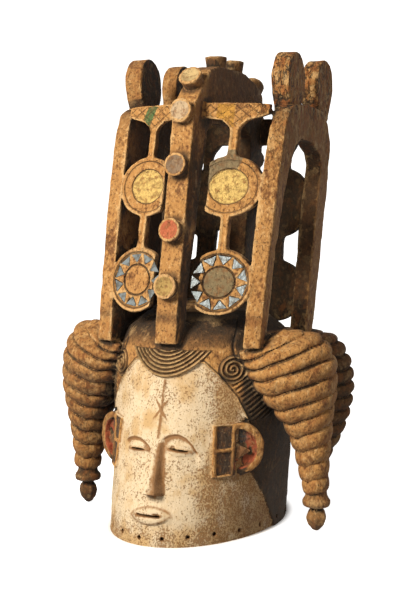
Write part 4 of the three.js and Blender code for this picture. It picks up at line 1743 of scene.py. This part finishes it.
def thin(obj: bpy.types.Object, most: int, sharp: float = 38) -> None:
    """Thins a mesh to a number of triangles and shades it smooth between edges of this many degrees.

    Args:
        obj: has the mesh.
        most: how many triangles may stay.
        sharp: least angle of an edge that stays sharp.
    """
    triangles = sum(len(polygon.vertices) - 2 for polygon in obj.data.polygons)
    modifier = obj.modifiers.new("thin", "DECIMATE")
    modifier.ratio = min(1.0, most / triangles)
    modifier.use_collapse_triangulate = True
    graph = bpy.context.evaluated_depsgraph_get()
    mesh = bpy.data.meshes.new_from_object(obj.evaluated_get(graph))
    obj.modifiers.clear()
    old, obj.data = obj.data, mesh
    bpy.data.meshes.remove(old)
    mesh.name = obj.name
    mesh.validate()
    mesh.shade_smooth()
    mesh.set_sharp_from_angle(angle=math.radians(sharp))


def give(mesh: bpy.types.Mesh, name: str, values: Array) -> None:
    """Keeps a number at each point of a mesh."""
    layer = mesh.attributes.new(name, "FLOAT", "POINT")
    layer.data.foreach_set("value", np.ascontiguousarray(values, np.float32))


def give_colour(mesh: bpy.types.Mesh, name: str, colours: Array) -> None:
    """Keeps a colour at each point of a mesh."""
    layer = mesh.attributes.new(name, "FLOAT_COLOR", "POINT")
    full = np.concatenate([colours, np.ones((len(colours), 1))], 1)
    layer.data.foreach_set("color", full.astype(np.float32).ravel())


# Shader maths

Number = "Socket | float"
Tint = "Socket | Colour"


@dataclass(frozen=True)
class Socket:
    """A value in a material; sums on it add Math nodes."""

    shader: "Shader"
    source: bpy.types.NodeSocket

    def _sum(self, operation: str, *values: Number, clamp: bool = False) -> "Socket":
        """One Math node on these values."""
        inputs = {i: value for i, value in enumerate(values)}
        return self.shader.node("ShaderNodeMath", {"operation": operation, "use_clamp": clamp}, inputs)

    def __add__(self, other: Number) -> "Socket":
        """Sum."""
        return self._sum("ADD", self, other)

    __radd__ = __add__

    def __sub__(self, other: Number) -> "Socket":
        """Difference."""
        return self._sum("SUBTRACT", self, other)

    def __rsub__(self, other: Number) -> "Socket":
        """Difference from a number."""
        return self._sum("SUBTRACT", other, self)

    def __mul__(self, other: Number) -> "Socket":
        """Product."""
        return self._sum("MULTIPLY", self, other)

    __rmul__ = __mul__

    def __truediv__(self, other: Number) -> "Socket":
        """Quotient."""
        return self._sum("DIVIDE", self, other)

    def __pow__(self, other: Number) -> "Socket":
        """Power."""
        return self._sum("POWER", self, other)

    def root(self) -> "Socket":
        """Square root."""
        return self._sum("SQRT", self)

    def size(self) -> "Socket":
        """The value without its sign."""
        return self._sum("ABSOLUTE", self)

    def wave(self, length: float) -> "Socket":
        """A wave of this length, from -1 to 1, highest where the value is 0."""
        return self._sum("COSINE", self * (2 * math.pi / length))

    def angle(self, along: "Socket") -> "Socket":
        """The bearing of a place from its height and its distance along, in radians."""
        return self._sum("ARCTAN2", self, along)

    def clipped(self) -> "Socket":
        """The value held between 0 and 1."""
        return self._sum("ADD", self, 0.0, clamp=True)

    def at_least(self, other: Number) -> "Socket":
        """The larger of two values."""
        return self._sum("MAXIMUM", self, other)

    def rise(self, low: float, high: float) -> "Socket":
        """0 below low, 1 above high, smooth between; low may be the larger.

        Args:
            low: where it starts.
            high: where it ends.

        Returns:
            A share from 0 to 1.
        """
        if low > high:
            return 1 - self.rise(high, low)
        settings = {"interpolation_type": "SMOOTHSTEP"}
        return self.shader.node("ShaderNodeMapRange", settings, {0: self, 1: low, 2: high})

    def line(self, outer: float, inner: float) -> "Socket":
        """A line where the value is 0: 1 within the inner distance of it, 0 beyond the outer."""
        return self.size().rise(outer, inner)


class Shader:
    """A material's nodes."""

    def __init__(self, name: str) -> None:
        """Makes an empty material with one surface shader.

        Args:
            name: of the material.
        """
        self.material = bpy.data.materials.new(name)
        self.material.use_nodes = True
        self.tree = self.material.node_tree
        self.tree.nodes.clear()
        self.surface = self.tree.nodes.new("ShaderNodeBsdfPrincipled")
        output = self.tree.nodes.new("ShaderNodeOutputMaterial")
        self.tree.links.new(self.surface.outputs[0], output.inputs[0])

    def node(
            self, kind: str, settings: dict[str, object] | None = None,
            inputs: dict[int | str, object] | None = None, output: int | str = 0) -> Socket:
        """Adds one node.

        Args:
            kind: the node's type.
            settings: its properties, set first.
            inputs: values or sockets for its inputs, by number or name.
            output: which output is wanted.

        Returns:
            That output.
        """
        node = self.tree.nodes.new(kind)
        for key, value in (settings or {}).items():
            setattr(node, key, value)
        for key, value in (inputs or {}).items():
            self.feed(node.inputs[key], value)
        return Socket(self, node.outputs[output])

    def feed(self, target: bpy.types.NodeSocket, value: object) -> None:
        """Links a socket, or sets a constant.

        Args:
            target: the input.
            value: a link, a number or a colour.
        """
        if isinstance(value, Socket):
            self.tree.links.new(value.source, target)
        elif isinstance(value, tuple) and len(value) == 3 and target.type == "RGBA":
            target.default_value = (*value, 1)
        else:
            target.default_value = value

    def set(self, **inputs: object) -> None:
        """Sets the surface shader's inputs; an underscore in a name stands for a space."""
        for name, value in inputs.items():
            self.feed(self.surface.inputs[name.replace("_", " ")], value)

    def value(self, name: str) -> Socket:
        """A number kept at the mesh's points."""
        return self.node("ShaderNodeAttribute", {"attribute_name": name}, output="Fac")

    def colour(self, name: str) -> Socket:
        """A colour kept at the mesh's points."""
        return self.node("ShaderNodeAttribute", {"attribute_name": name}, output="Color")

    def place(self, scale: Triple = (1, 1, 1)) -> Socket:
        """The place on the object in metres, stretched along the axes."""
        at = self.node("ShaderNodeTexCoord", output="Object")
        return self.node("ShaderNodeVectorMath", {"operation": "MULTIPLY"}, {0: at, 1: scale})

    def axis(self, index: int) -> Socket:
        """One coordinate of the place on the object, in millimetres."""
        return self.node("ShaderNodeSeparateXYZ", {}, {0: self.place((1 / MM,) * 3)}, output=index)

    def noise(
            self, size: float, stretch: Triple = (1, 1, 1), detail: float = 3, rough: float = 0.55,
            twist: float = 0) -> Socket:
        """Cloudy noise.

        Args:
            size: width of its clouds in metres.
            stretch: how much finer it is along each axis.
            detail: how many finer layers it has.
            rough: strength of the finer layers.
            twist: how much it is distorted.

        Returns:
            Values round 0.5.
        """
        inputs = {
            "Vector": self.place(stretch), "Scale": 1 / size, "Detail": detail, "Roughness": rough,
            "Distortion": twist}
        return self.node("ShaderNodeTexNoise", {"noise_dimensions": "3D"}, inputs)

    def mix(self, share: Number, first: Tint, second: Tint) -> Socket:
        """A colour between two colours."""
        inputs = {0: share, 6: first, 7: second}
        return self.node("ShaderNodeMix", {"data_type": "RGBA"}, inputs, output=2)

    def bump(self, height: Socket, depth: float) -> Socket:
        """A normal from a height; depth in metres."""
        return self.node("ShaderNodeBump", {}, {"Strength": 1.0, "Distance": depth, "Height": height})


# Finishes

@dataclass(frozen=True)
class Engraving:
    """The fine lines of the hair and of the crest's webs, drawn over their carved relief."""

    hair: Hair = Hair()
    spiral_reach: float = 16.5

    def draw(self, s: Shader) -> tuple[Socket, Socket, Socket]:
        """Draws the lines.

        Args:
            s: the material's nodes.

        Returns:
            Their height from 0 in a groove to 1 on a ridge, where the olive hair is, and where any are.
        """
        hair, t, z, face = self.hair, s.value("round").size(), s.axis(2), s.value("face")
        level = (t / hair.sweep) ** 2 * hair.drop + hair.brow
        slope = (t * (2 * hair.drop / hair.sweep**2)) ** 2 + 1
        across = (z - level) / slope.root()
        ridges = (across - hair.first_ridge).wave(hair.ridge)
        du, dv = t - hair.spiral_at[0], z - hair.spiral_at[1]
        radius = (du * du + dv * dv).root()
        spiral = radius.rise(self.spiral_reach + 0.4, self.spiral_reach - 0.4)
        turns = (radius + dv.angle(du) * (hair.spiral_turn / (2 * math.pi))).wave(hair.spiral_turn)
        outer = 1 - spiral
        festoon = across.rise(-0.6, 0.2) * z.rise(222, 220.5) * t.rise(60, 57) * outer
        comb = face.rise(-4.0, -5.0) * face.rise(-36, -33) * z.rise(136, 138) * z.rise(201, 199)
        comb = comb * t.rise(58, 61) * t.rise(128, 118) * outer
        lines = ((z - du * hair.comb_slant) * (1 / math.hypot(1, hair.comb_slant))).wave(hair.comb_pitch)
        where = (festoon + spiral + comb).clipped()
        height = (ridges * festoon + turns * spiral + lines * comb * 0.9) * 0.5 + 0.5
        return height, (festoon + spiral * 0.9).clipped(), where

    def cuts(self, s: Shader) -> Socket:
        """How deep the thin cuts are: lattices of the webs, circles of the discs, and the partings.

        Args:
            s: the material's nodes.

        Returns:
            Depths, in mm.
        """
        u, z, turn = s.axis(0).size(), s.axis(2), s.value("round").size()
        slanted, pitch = z * FRONT_PANEL.lattice_slope, FRONT_PANEL.lattice_pitch
        one, two = (line.wave(pitch).rise(0.90, 0.985) for line in (u + slanted, u - slanted))
        lattice = one.at_least(two) * s.value("web").rise(0.5, 1.2)
        sun = s.value("sun")
        rings = (sun - 20.3).line(1.5, 0.6).at_least((sun - 4.6).line(0.9, 0.3))
        gold = (s.value("crust") + 0.3).line(1.3, 0.4) * 0.9
        edge = (s.value("rim") - 5.4).line(1.0, 0.3) * 0.8
        across, level = self.hair.parting
        parting = (turn - across - (z - level) * (z - level) * self.hair.parting_bend).line(1.7, 0.6)
        parting = parting * z.rise(207, 210) * z.rise(258, 250)
        return lattice.at_least(rings).at_least(gold).at_least(edge).at_least(parting)


@dataclass(frozen=True)
class CarvedWood:
    """Old light wood under worn ochre and brown paint, with white kaolin on the face, and painted shade in
    its creases, hollows and sheltered faces.
    """

    ochre: Colour = (0.475, 0.236, 0.072)
    brown: Colour = (0.165, 0.066, 0.021)
    umber: Colour = (0.085, 0.042, 0.017)
    soot: Colour = (0.020, 0.015, 0.010)
    pale: Colour = (0.66, 0.42, 0.185)
    rust: Colour = (0.30, 0.100, 0.025)
    olive: Colour = (0.245, 0.165, 0.070)
    kaolin: Colour = (0.70, 0.555, 0.37)
    cream: Colour = (0.55, 0.355, 0.165)
    # Brown of the specks and stains on the face, also used for its painted shade.
    stain_and_shade_brown: Colour = (0.265, 0.120, 0.037)
    engraving: Engraving = Engraving()
    relief: float = 0.0021

    def material(self) -> bpy.types.Material:
        """Builds the material.

        Returns:
            The material.
        """
        s = Shader(CARVED_SLOT)
        crevice, worn = s.value("crevice"), s.value("worn")
        lines, olive, engraved = self.engraving.draw(s)
        cuts = self.engraving.cuts(s)
        wood, grain = self.wood(s, worn, olive)
        groove = (1 - lines.rise(0.05, 0.42)) * engraved
        wood = s.mix(groove * 0.72, wood, s.mix(olive * 0.6, self.soot, self.umber))
        wood = s.mix(lines.rise(0.60, 0.95) * (olive * 0.22 + 0.06) * engraved, wood, self.pale)
        edge, above = s.value("face"), s.axis(2).rise(132, 136) * s.value("round").size().rise(36, 40)
        wood = s.mix(edge.rise(-3.6, -2.4) * edge.rise(-0.9, -1.6) * above * 0.75, wood, self.soot)
        wood = s.mix(edge.rise(-1.3, -0.7) * above * 0.7, wood, self.pale)
        wood = s.mix(cuts * (0.75 - s.value("web").rise(0.2, 0.6) * 0.4), wood, self.soot)
        face_height, face_colour, face_share = self.kaolin_layer(s, crevice, worn)
        paint_share, paint_colour = self.paint_layer(s)
        colour = s.mix(face_share, wood, face_colour)
        colour = s.mix(paint_share, colour, paint_colour)
        # Painted shade in creases: the colour goes towards soot where wood stands close over a place, less
        # on the white face.
        crease_shade = (crevice.rise(0.22, 0.85) * (0.92 - face_share * 0.5)).clipped()
        colour = s.mix(crease_shade, colour, s.mix(0.82, colour, self.soot))
        rough = 0.80 - 0.16 * worn.rise(0.2, 0.7) + 0.10 * grain
        height = grain * (1 - face_share) + face_height * face_share
        height = height + lines * engraved * 1.2 - cuts * 0.8
        lumps, crusted = s.noise(0.0045, detail=4, rough=0.65), s.value("crust").rise(-0.5, 1.0)
        colour = s.mix(crusted * lumps.rise(0.53, 0.62) * 0.5, colour, self.rust)
        normal = s.bump(height + crusted * lumps * 2.6, self.relief)
        s.set(Base_Color=colour, Roughness=rough.clipped(), Normal=normal, Specular_IOR_Level=0.3)
        return s.material

    def wood(self, s: Shader, worn: Socket, olive: Socket) -> tuple[Socket, Socket]:
        """The bare and painted wood, with painted shade on sheltered faces and in hollows.

        Args:
            s: the material's nodes.
            worn: how far out on an edge a place is.
            olive: where the engraved hair keeps its olive-brown paint.

        Returns:
            Its colour and its surface height.
        """
        tone_and_shade, deep = s.value("tone_and_shade"), s.value("deep")
        clouds = s.noise(0.045, (1, 1, 0.6), 4, 0.6)
        blotch = s.noise(0.012, (1, 1, 0.75), 4, 0.62)
        fine = s.noise(0.0042, (1, 1, 0.7), 4, 0.68)
        specks = s.noise(0.0026, (1, 1, 0.8), 2, 0.6)
        grain = s.noise(0.0024, (1, 1, 0.08), 3, 0.6, 0.3)
        mottle = 0.58 + (clouds - 0.5) * 1.0 + (blotch - 0.5) * 1.2 + (fine - 0.5) * 1.5
        base = s.mix(mottle.rise(0.20, 0.64), self.brown, self.ochre)
        base = s.mix((blotch + (fine - 0.5) * 0.5).rise(0.60, 0.68) * 0.55, base, self.rust)
        base = s.mix((fine + (blotch - 0.5) * 0.4).rise(0.58, 0.66) * 0.65, base, self.pale)
        base = s.mix(specks.rise(0.60, 0.68) * 0.7, base, self.brown)
        base = s.mix(olive * 0.9, base, s.mix(fine.rise(0.35, 0.6), self.olive, self.brown))
        # Dark paint and painted shade from the tone, and painted shade in hollows and between parts; both
        # go towards umber and soot.
        dark = tone_and_shade * 1.2 + deep.rise(0.12, 0.75) * 0.55 + (clouds - 0.5) * 0.45 + (blotch - 0.5) * 0.4
        shade = s.mix(dark.rise(0.45, 1.05), self.umber, self.soot)
        spread = (fine + (blotch - 0.5) * 0.6).rise(0.48, 0.75)
        shade = s.mix(spread * (0.55 - dark.rise(0.5, 1.0) * 0.42), shade, self.rust)
        base = s.mix(dark.rise(0.05, 0.8) * 0.95, base, shade)
        base = s.mix(s.value("inside") * 0.85, base, s.mix(0.5, self.soot, self.brown))
        edge = (worn * 1.4 + (fine - 0.5) * 1.0).rise(0.30, 0.72) * (1 - tone_and_shade.clipped() * 0.85)
        base = s.mix(edge * 0.65, base, self.pale)
        base = s.mix(grain.rise(0.58, 0.70) * 0.3, base, self.brown)
        rough = s.value("rough")
        lumps, cracks = s.noise(0.011, (1, 1, 0.8), 3, 0.6), s.noise(0.009, (1, 1, 0.25), 3, 0.6)
        crack = (cracks - 0.5).line(0.035, 0.008) * rough.rise(0.3, 1.0)
        base = s.mix(crack * 0.8, base, self.soot)
        base = s.mix(lumps.rise(0.50, 0.62) * rough * 0.7, base, self.rust)
        base = s.mix(lumps.rise(0.46, 0.36) * rough * 0.5, base, self.pale)
        height = grain * 0.3 + fine * 1.1 + blotch * 0.9 - specks.rise(0.58, 0.70) * 0.5
        height = height + (lumps * 3.5 - crack * 2.0) * rough
        return base, height

    def kaolin_layer(self, s: Shader, crevice: Socket, worn: Socket) -> tuple[Socket, Socket, Socket]:
        """The white face, flaked and pitted down to brown, with painted shade in its grooves.

        Args:
            s: the material's nodes.
            crevice: how deep in a groove a place is.
            worn: how far out on an edge a place is.

        Returns:
            Its surface height, its colour and how much of it covers the wood.
        """
        face, flaky = s.value("face"), s.value("flaky")
        clouds = s.noise(0.030, (1, 1, 0.8), 4, 0.6)
        fine = s.noise(0.0032, (1, 1, 0.7), 4, 0.7)
        streaks = s.noise(0.0035, (1, 1, 0.10), 3, 0.6)
        many = s.noise(0.022, (1, 1, 0.9), 3, 0.55)
        colour = s.mix((clouds + (flaky - 0.4) * 0.22).rise(0.42, 0.66), self.kaolin, self.cream)
        colour = s.mix(streaks.rise(0.52, 0.70) * 0.35, colour, self.cream)
        colour = s.mix(fine.rise(0.48, 0.70) * 0.30, colour, self.cream)
        share = flaky * 0.15 + (many - 0.5) * 0.34
        small = (s.noise(0.0019, (1, 1, 0.9), 2, 0.6) + share).rise(0.63, 0.69)
        large = (s.noise(0.0042, (1, 1, 0.85), 4, 0.68) + share * 1.1).rise(0.70, 0.75)
        flakes = (small * 0.8).at_least(large * 0.8)
        colour = s.mix(flakes, colour, self.stain_and_shade_brown)
        # Brown stains and painted shade from the stain attribute.
        stain_and_shade = (s.value("stain_and_shade") + (fine - 0.5) * 0.6 + (clouds - 0.5) * 0.3).rise(0.20, 0.72)
        colour = s.mix(stain_and_shade * 0.9, colour, self.stain_and_shade_brown)
        # Painted shade in the face's grooves.
        colour = s.mix(crevice.rise(0.08, 0.5) * 0.8, colour, self.stain_and_shade_brown)
        colour = s.mix(worn.rise(0.45, 0.9) * 0.35, colour, self.cream)
        cover = (face + (fine - 0.5) * 3.0).rise(-0.4, 0.6)
        height = fine * 0.4 + (1 - flakes) * 0.35 + clouds * 0.5
        return height, colour, cover

    def paint_layer(self, s: Shader) -> tuple[Socket, Socket]:
        """The small painted places: how much they cover, and their colour.

        Args:
            s: the material's nodes.

        Returns:
            The cover from 0 to 1, and the colour.
        """
        edge = s.value("paint_edge")
        fine = s.noise(0.003, detail=4, rough=0.7)
        blots = s.noise(0.007, rough=0.6)
        cover = (edge + (fine - 0.5) * 2.6).rise(-0.3, 0.5) * (1 - blots.rise(0.60, 0.68) * 0.3)
        colour = s.mix(blots.rise(0.44, 0.66) * 0.6, s.colour("paint"), self.brown)
        colour = s.mix(fine.rise(0.56, 0.70) * 0.35, colour, self.pale)
        return cover, colour


@dataclass(frozen=True)
class AgedMirror:
    """Small pieces of old mirror, clouded and spotted."""

    glass: Colour = (0.19, 0.22, 0.23)
    cloud: Colour = (0.085, 0.085, 0.075)
    relief: float = 0.0006

    def material(self) -> bpy.types.Material:
        """Builds the material.

        Returns:
            The material.
        """
        s = Shader("aged_mirror")
        clouds = s.noise(0.006, detail=4)
        spots = s.noise(0.0015, detail=2)
        colour = s.mix(clouds.rise(0.4, 0.65), self.glass, self.cloud)
        rough = (0.34 + 0.4 * spots.rise(0.45, 0.7)).clipped()
        s.set(Base_Color=colour, Metallic=0.25, Roughness=rough, Normal=s.bump(clouds, self.relief))
        return s.material


@dataclass(frozen=True)
class PaleFloor:
    """A plain pale studio floor, which glows faintly, with a painted contact shadow: the glow is black in
    the oval that the rim stands on and fades in just beyond it.
    """

    colour: Colour = (0.93, 0.93, 0.93)
    # Colour of the painted contact shadow in the floor's glow.
    dark: Colour = (0.0, 0.0, 0.0)
    oval: Pair = (100.0, 147.0)
    oval_back: float = 16.0

    def material(self) -> bpy.types.Material:
        """Builds the material.

        Returns:
            The material.
        """
        s = Shader("pale_floor")
        x, y = s.axis(0) / self.oval[0], (s.axis(1) + self.oval_back) / self.oval[1]
        # Painted contact shadow: black inside the rim's oval, fading to the glow just outside it.
        beyond = ((x * x + y * y).root() - 1.0).rise(-0.01, 0.11)
        glow = s.mix(beyond, self.dark, self.colour)
        s.set(Base_Color=self.colour, Roughness=0.9, Emission_Color=glow, Emission_Strength=1.0)
        return s.material


# The studio

@dataclass(frozen=True)
class Lamp:
    """A soft square lamp that looks at the mask."""

    name: str
    place: Triple
    size: float
    watts: float
    colour: Colour
    aim: Triple = (0, 0, 0.3)

    def add(self) -> None:
        """Puts the lamp into the scene."""
        data = bpy.data.lights.new(self.name, "AREA")
        data.size = self.size
        data.energy = self.watts
        data.color = self.colour
        obj = bpy.data.objects.new(self.name, data)
        obj.location = self.place
        obj.rotation_euler = (Vector(self.aim) - obj.location).to_track_quat("-Z", "Y").to_euler()
        bpy.context.scene.collection.objects.link(obj)


@dataclass(frozen=True)
class Studio:
    """Floor, soft lights and the camera at the photograph's angle, in metres and degrees."""

    azimuth: float = 25.0
    elevation: float = 5.2
    distance: float = 1.5
    lens: float = 72.0
    sensor: float = 36.0
    target: Triple = (-0.00517, -0.00423, 0.271)
    floor_reach: float = 6.0
    floor_bend: Pair = (1.6, 1.2)
    lamps: tuple[Lamp, ...] = (
        Lamp("key", (-0.6, -1.7, 1.25), 0.6, 62, (1.0, 0.95, 0.86)),
        Lamp("fill", (1.5, -1.5, 0.5), 1.2, 5, (1.0, 0.96, 0.9)))
    surround: Colour = (1, 0.90, 0.78)
    surround_strength: float = 0.21

    def floor(self) -> None:
        """Lays the floor, which curves up behind the mask and isn't part of the object."""
        reach, (start, radius) = self.floor_reach, self.floor_bend
        profile = [(-reach, 0.0), (start, 0.0)]
        profile += [
            (start + radius * math.sin(a), radius - radius * math.cos(a))
            for a in np.linspace(0.08, math.pi / 2, 16)]
        profile.append((start + radius, reach))
        points = [(side * reach, y, z) for y, z in profile for side in (-1, 1)]
        faces = [[2 * i, 2 * i + 1, 2 * i + 3, 2 * i + 2] for i in range(len(profile) - 1)]
        obj = mesh_object("floor", np.array(points), np.array(faces))
        obj.data.shade_smooth()
        obj.data.materials.append(PaleFloor().material())
        obj.visible_diffuse = False

    def lights(self) -> None:
        """Sets a warm key from the left front, a weak fill and a pale surround."""
        for lamp in self.lamps:
            lamp.add()
        world = bpy.data.worlds.new("surround")
        world.use_nodes = True
        inputs = world.node_tree.nodes["Background"].inputs
        inputs[0].default_value = (*self.surround, 1)
        inputs[1].default_value = self.surround_strength
        bpy.context.scene.world = world
        bpy.context.scene.view_settings.view_transform = "Standard"

    def camera(self) -> None:
        """Places the camera."""
        az, el = math.radians(self.azimuth), math.radians(self.elevation)
        back = Vector((math.sin(az) * math.cos(el), -math.cos(az) * math.cos(el), math.sin(el)))
        right = Vector((math.cos(az), math.sin(az), 0))
        up = back.cross(right)
        data = bpy.data.cameras.new("camera")
        data.lens = self.lens
        data.sensor_width = self.sensor
        obj = bpy.data.objects.new("camera", data)
        rotation = Matrix((right, up, back)).transposed().to_4x4()
        obj.matrix_world = Matrix.Translation(Vector(self.target) + back * self.distance) @ rotation
        bpy.context.scene.collection.objects.link(obj)
        bpy.context.scene.camera = obj


@dataclass(frozen=True)
class MirrorGlass:
    """The triangular pieces in the two sunburst discs, which keep their solids."""

    prefix: str = "mirror_"
    finish: AgedMirror = AgedMirror()

    def dress(self, nodes: dict[str, bpy.types.Object]) -> int:
        """Gives each piece the mirror's finish.

        Args:
            nodes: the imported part's objects by name.

        Returns:
            How many pieces there are.
        """
        material = self.finish.material()
        pieces = [obj for name, obj in nodes.items() if name.startswith(self.prefix)]
        for obj in pieces:
            obj.data.materials.clear()
            obj.data.materials.append(material)
        return len(pieces)


def rim_shift(node: bpy.types.Object, rim_front: float = -160.6) -> float:
    """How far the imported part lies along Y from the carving's own measures, in millimetres."""
    rim = [vertex.co.y for vertex in node.data.vertices if vertex.co.z < 0.0005]
    return min(rim) / MM - rim_front


def main() -> None:
    """Builds the carving, the glass and the studio."""
    logging.basicConfig(level=logging.INFO, format="%(message)s")
    studio = Studio()
    studio.camera()
    shift = rim_shift(frame["nodes"][CARVED_NODE])
    log.info("the part lies %.2f mm along Y", shift)
    carving = Carving(shift).build()
    carving.data.materials.append(CarvedWood().material())
    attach(carving, BODY)
    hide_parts(CARVED_NODE)
    log.info("carving: %d triangles", len(carving.data.polygons))
    log.info("mirror glass: %d pieces", MirrorGlass().dress(frame["nodes"]))
    studio.floor()
    studio.lights()


if __name__ == "__main__":
    main()
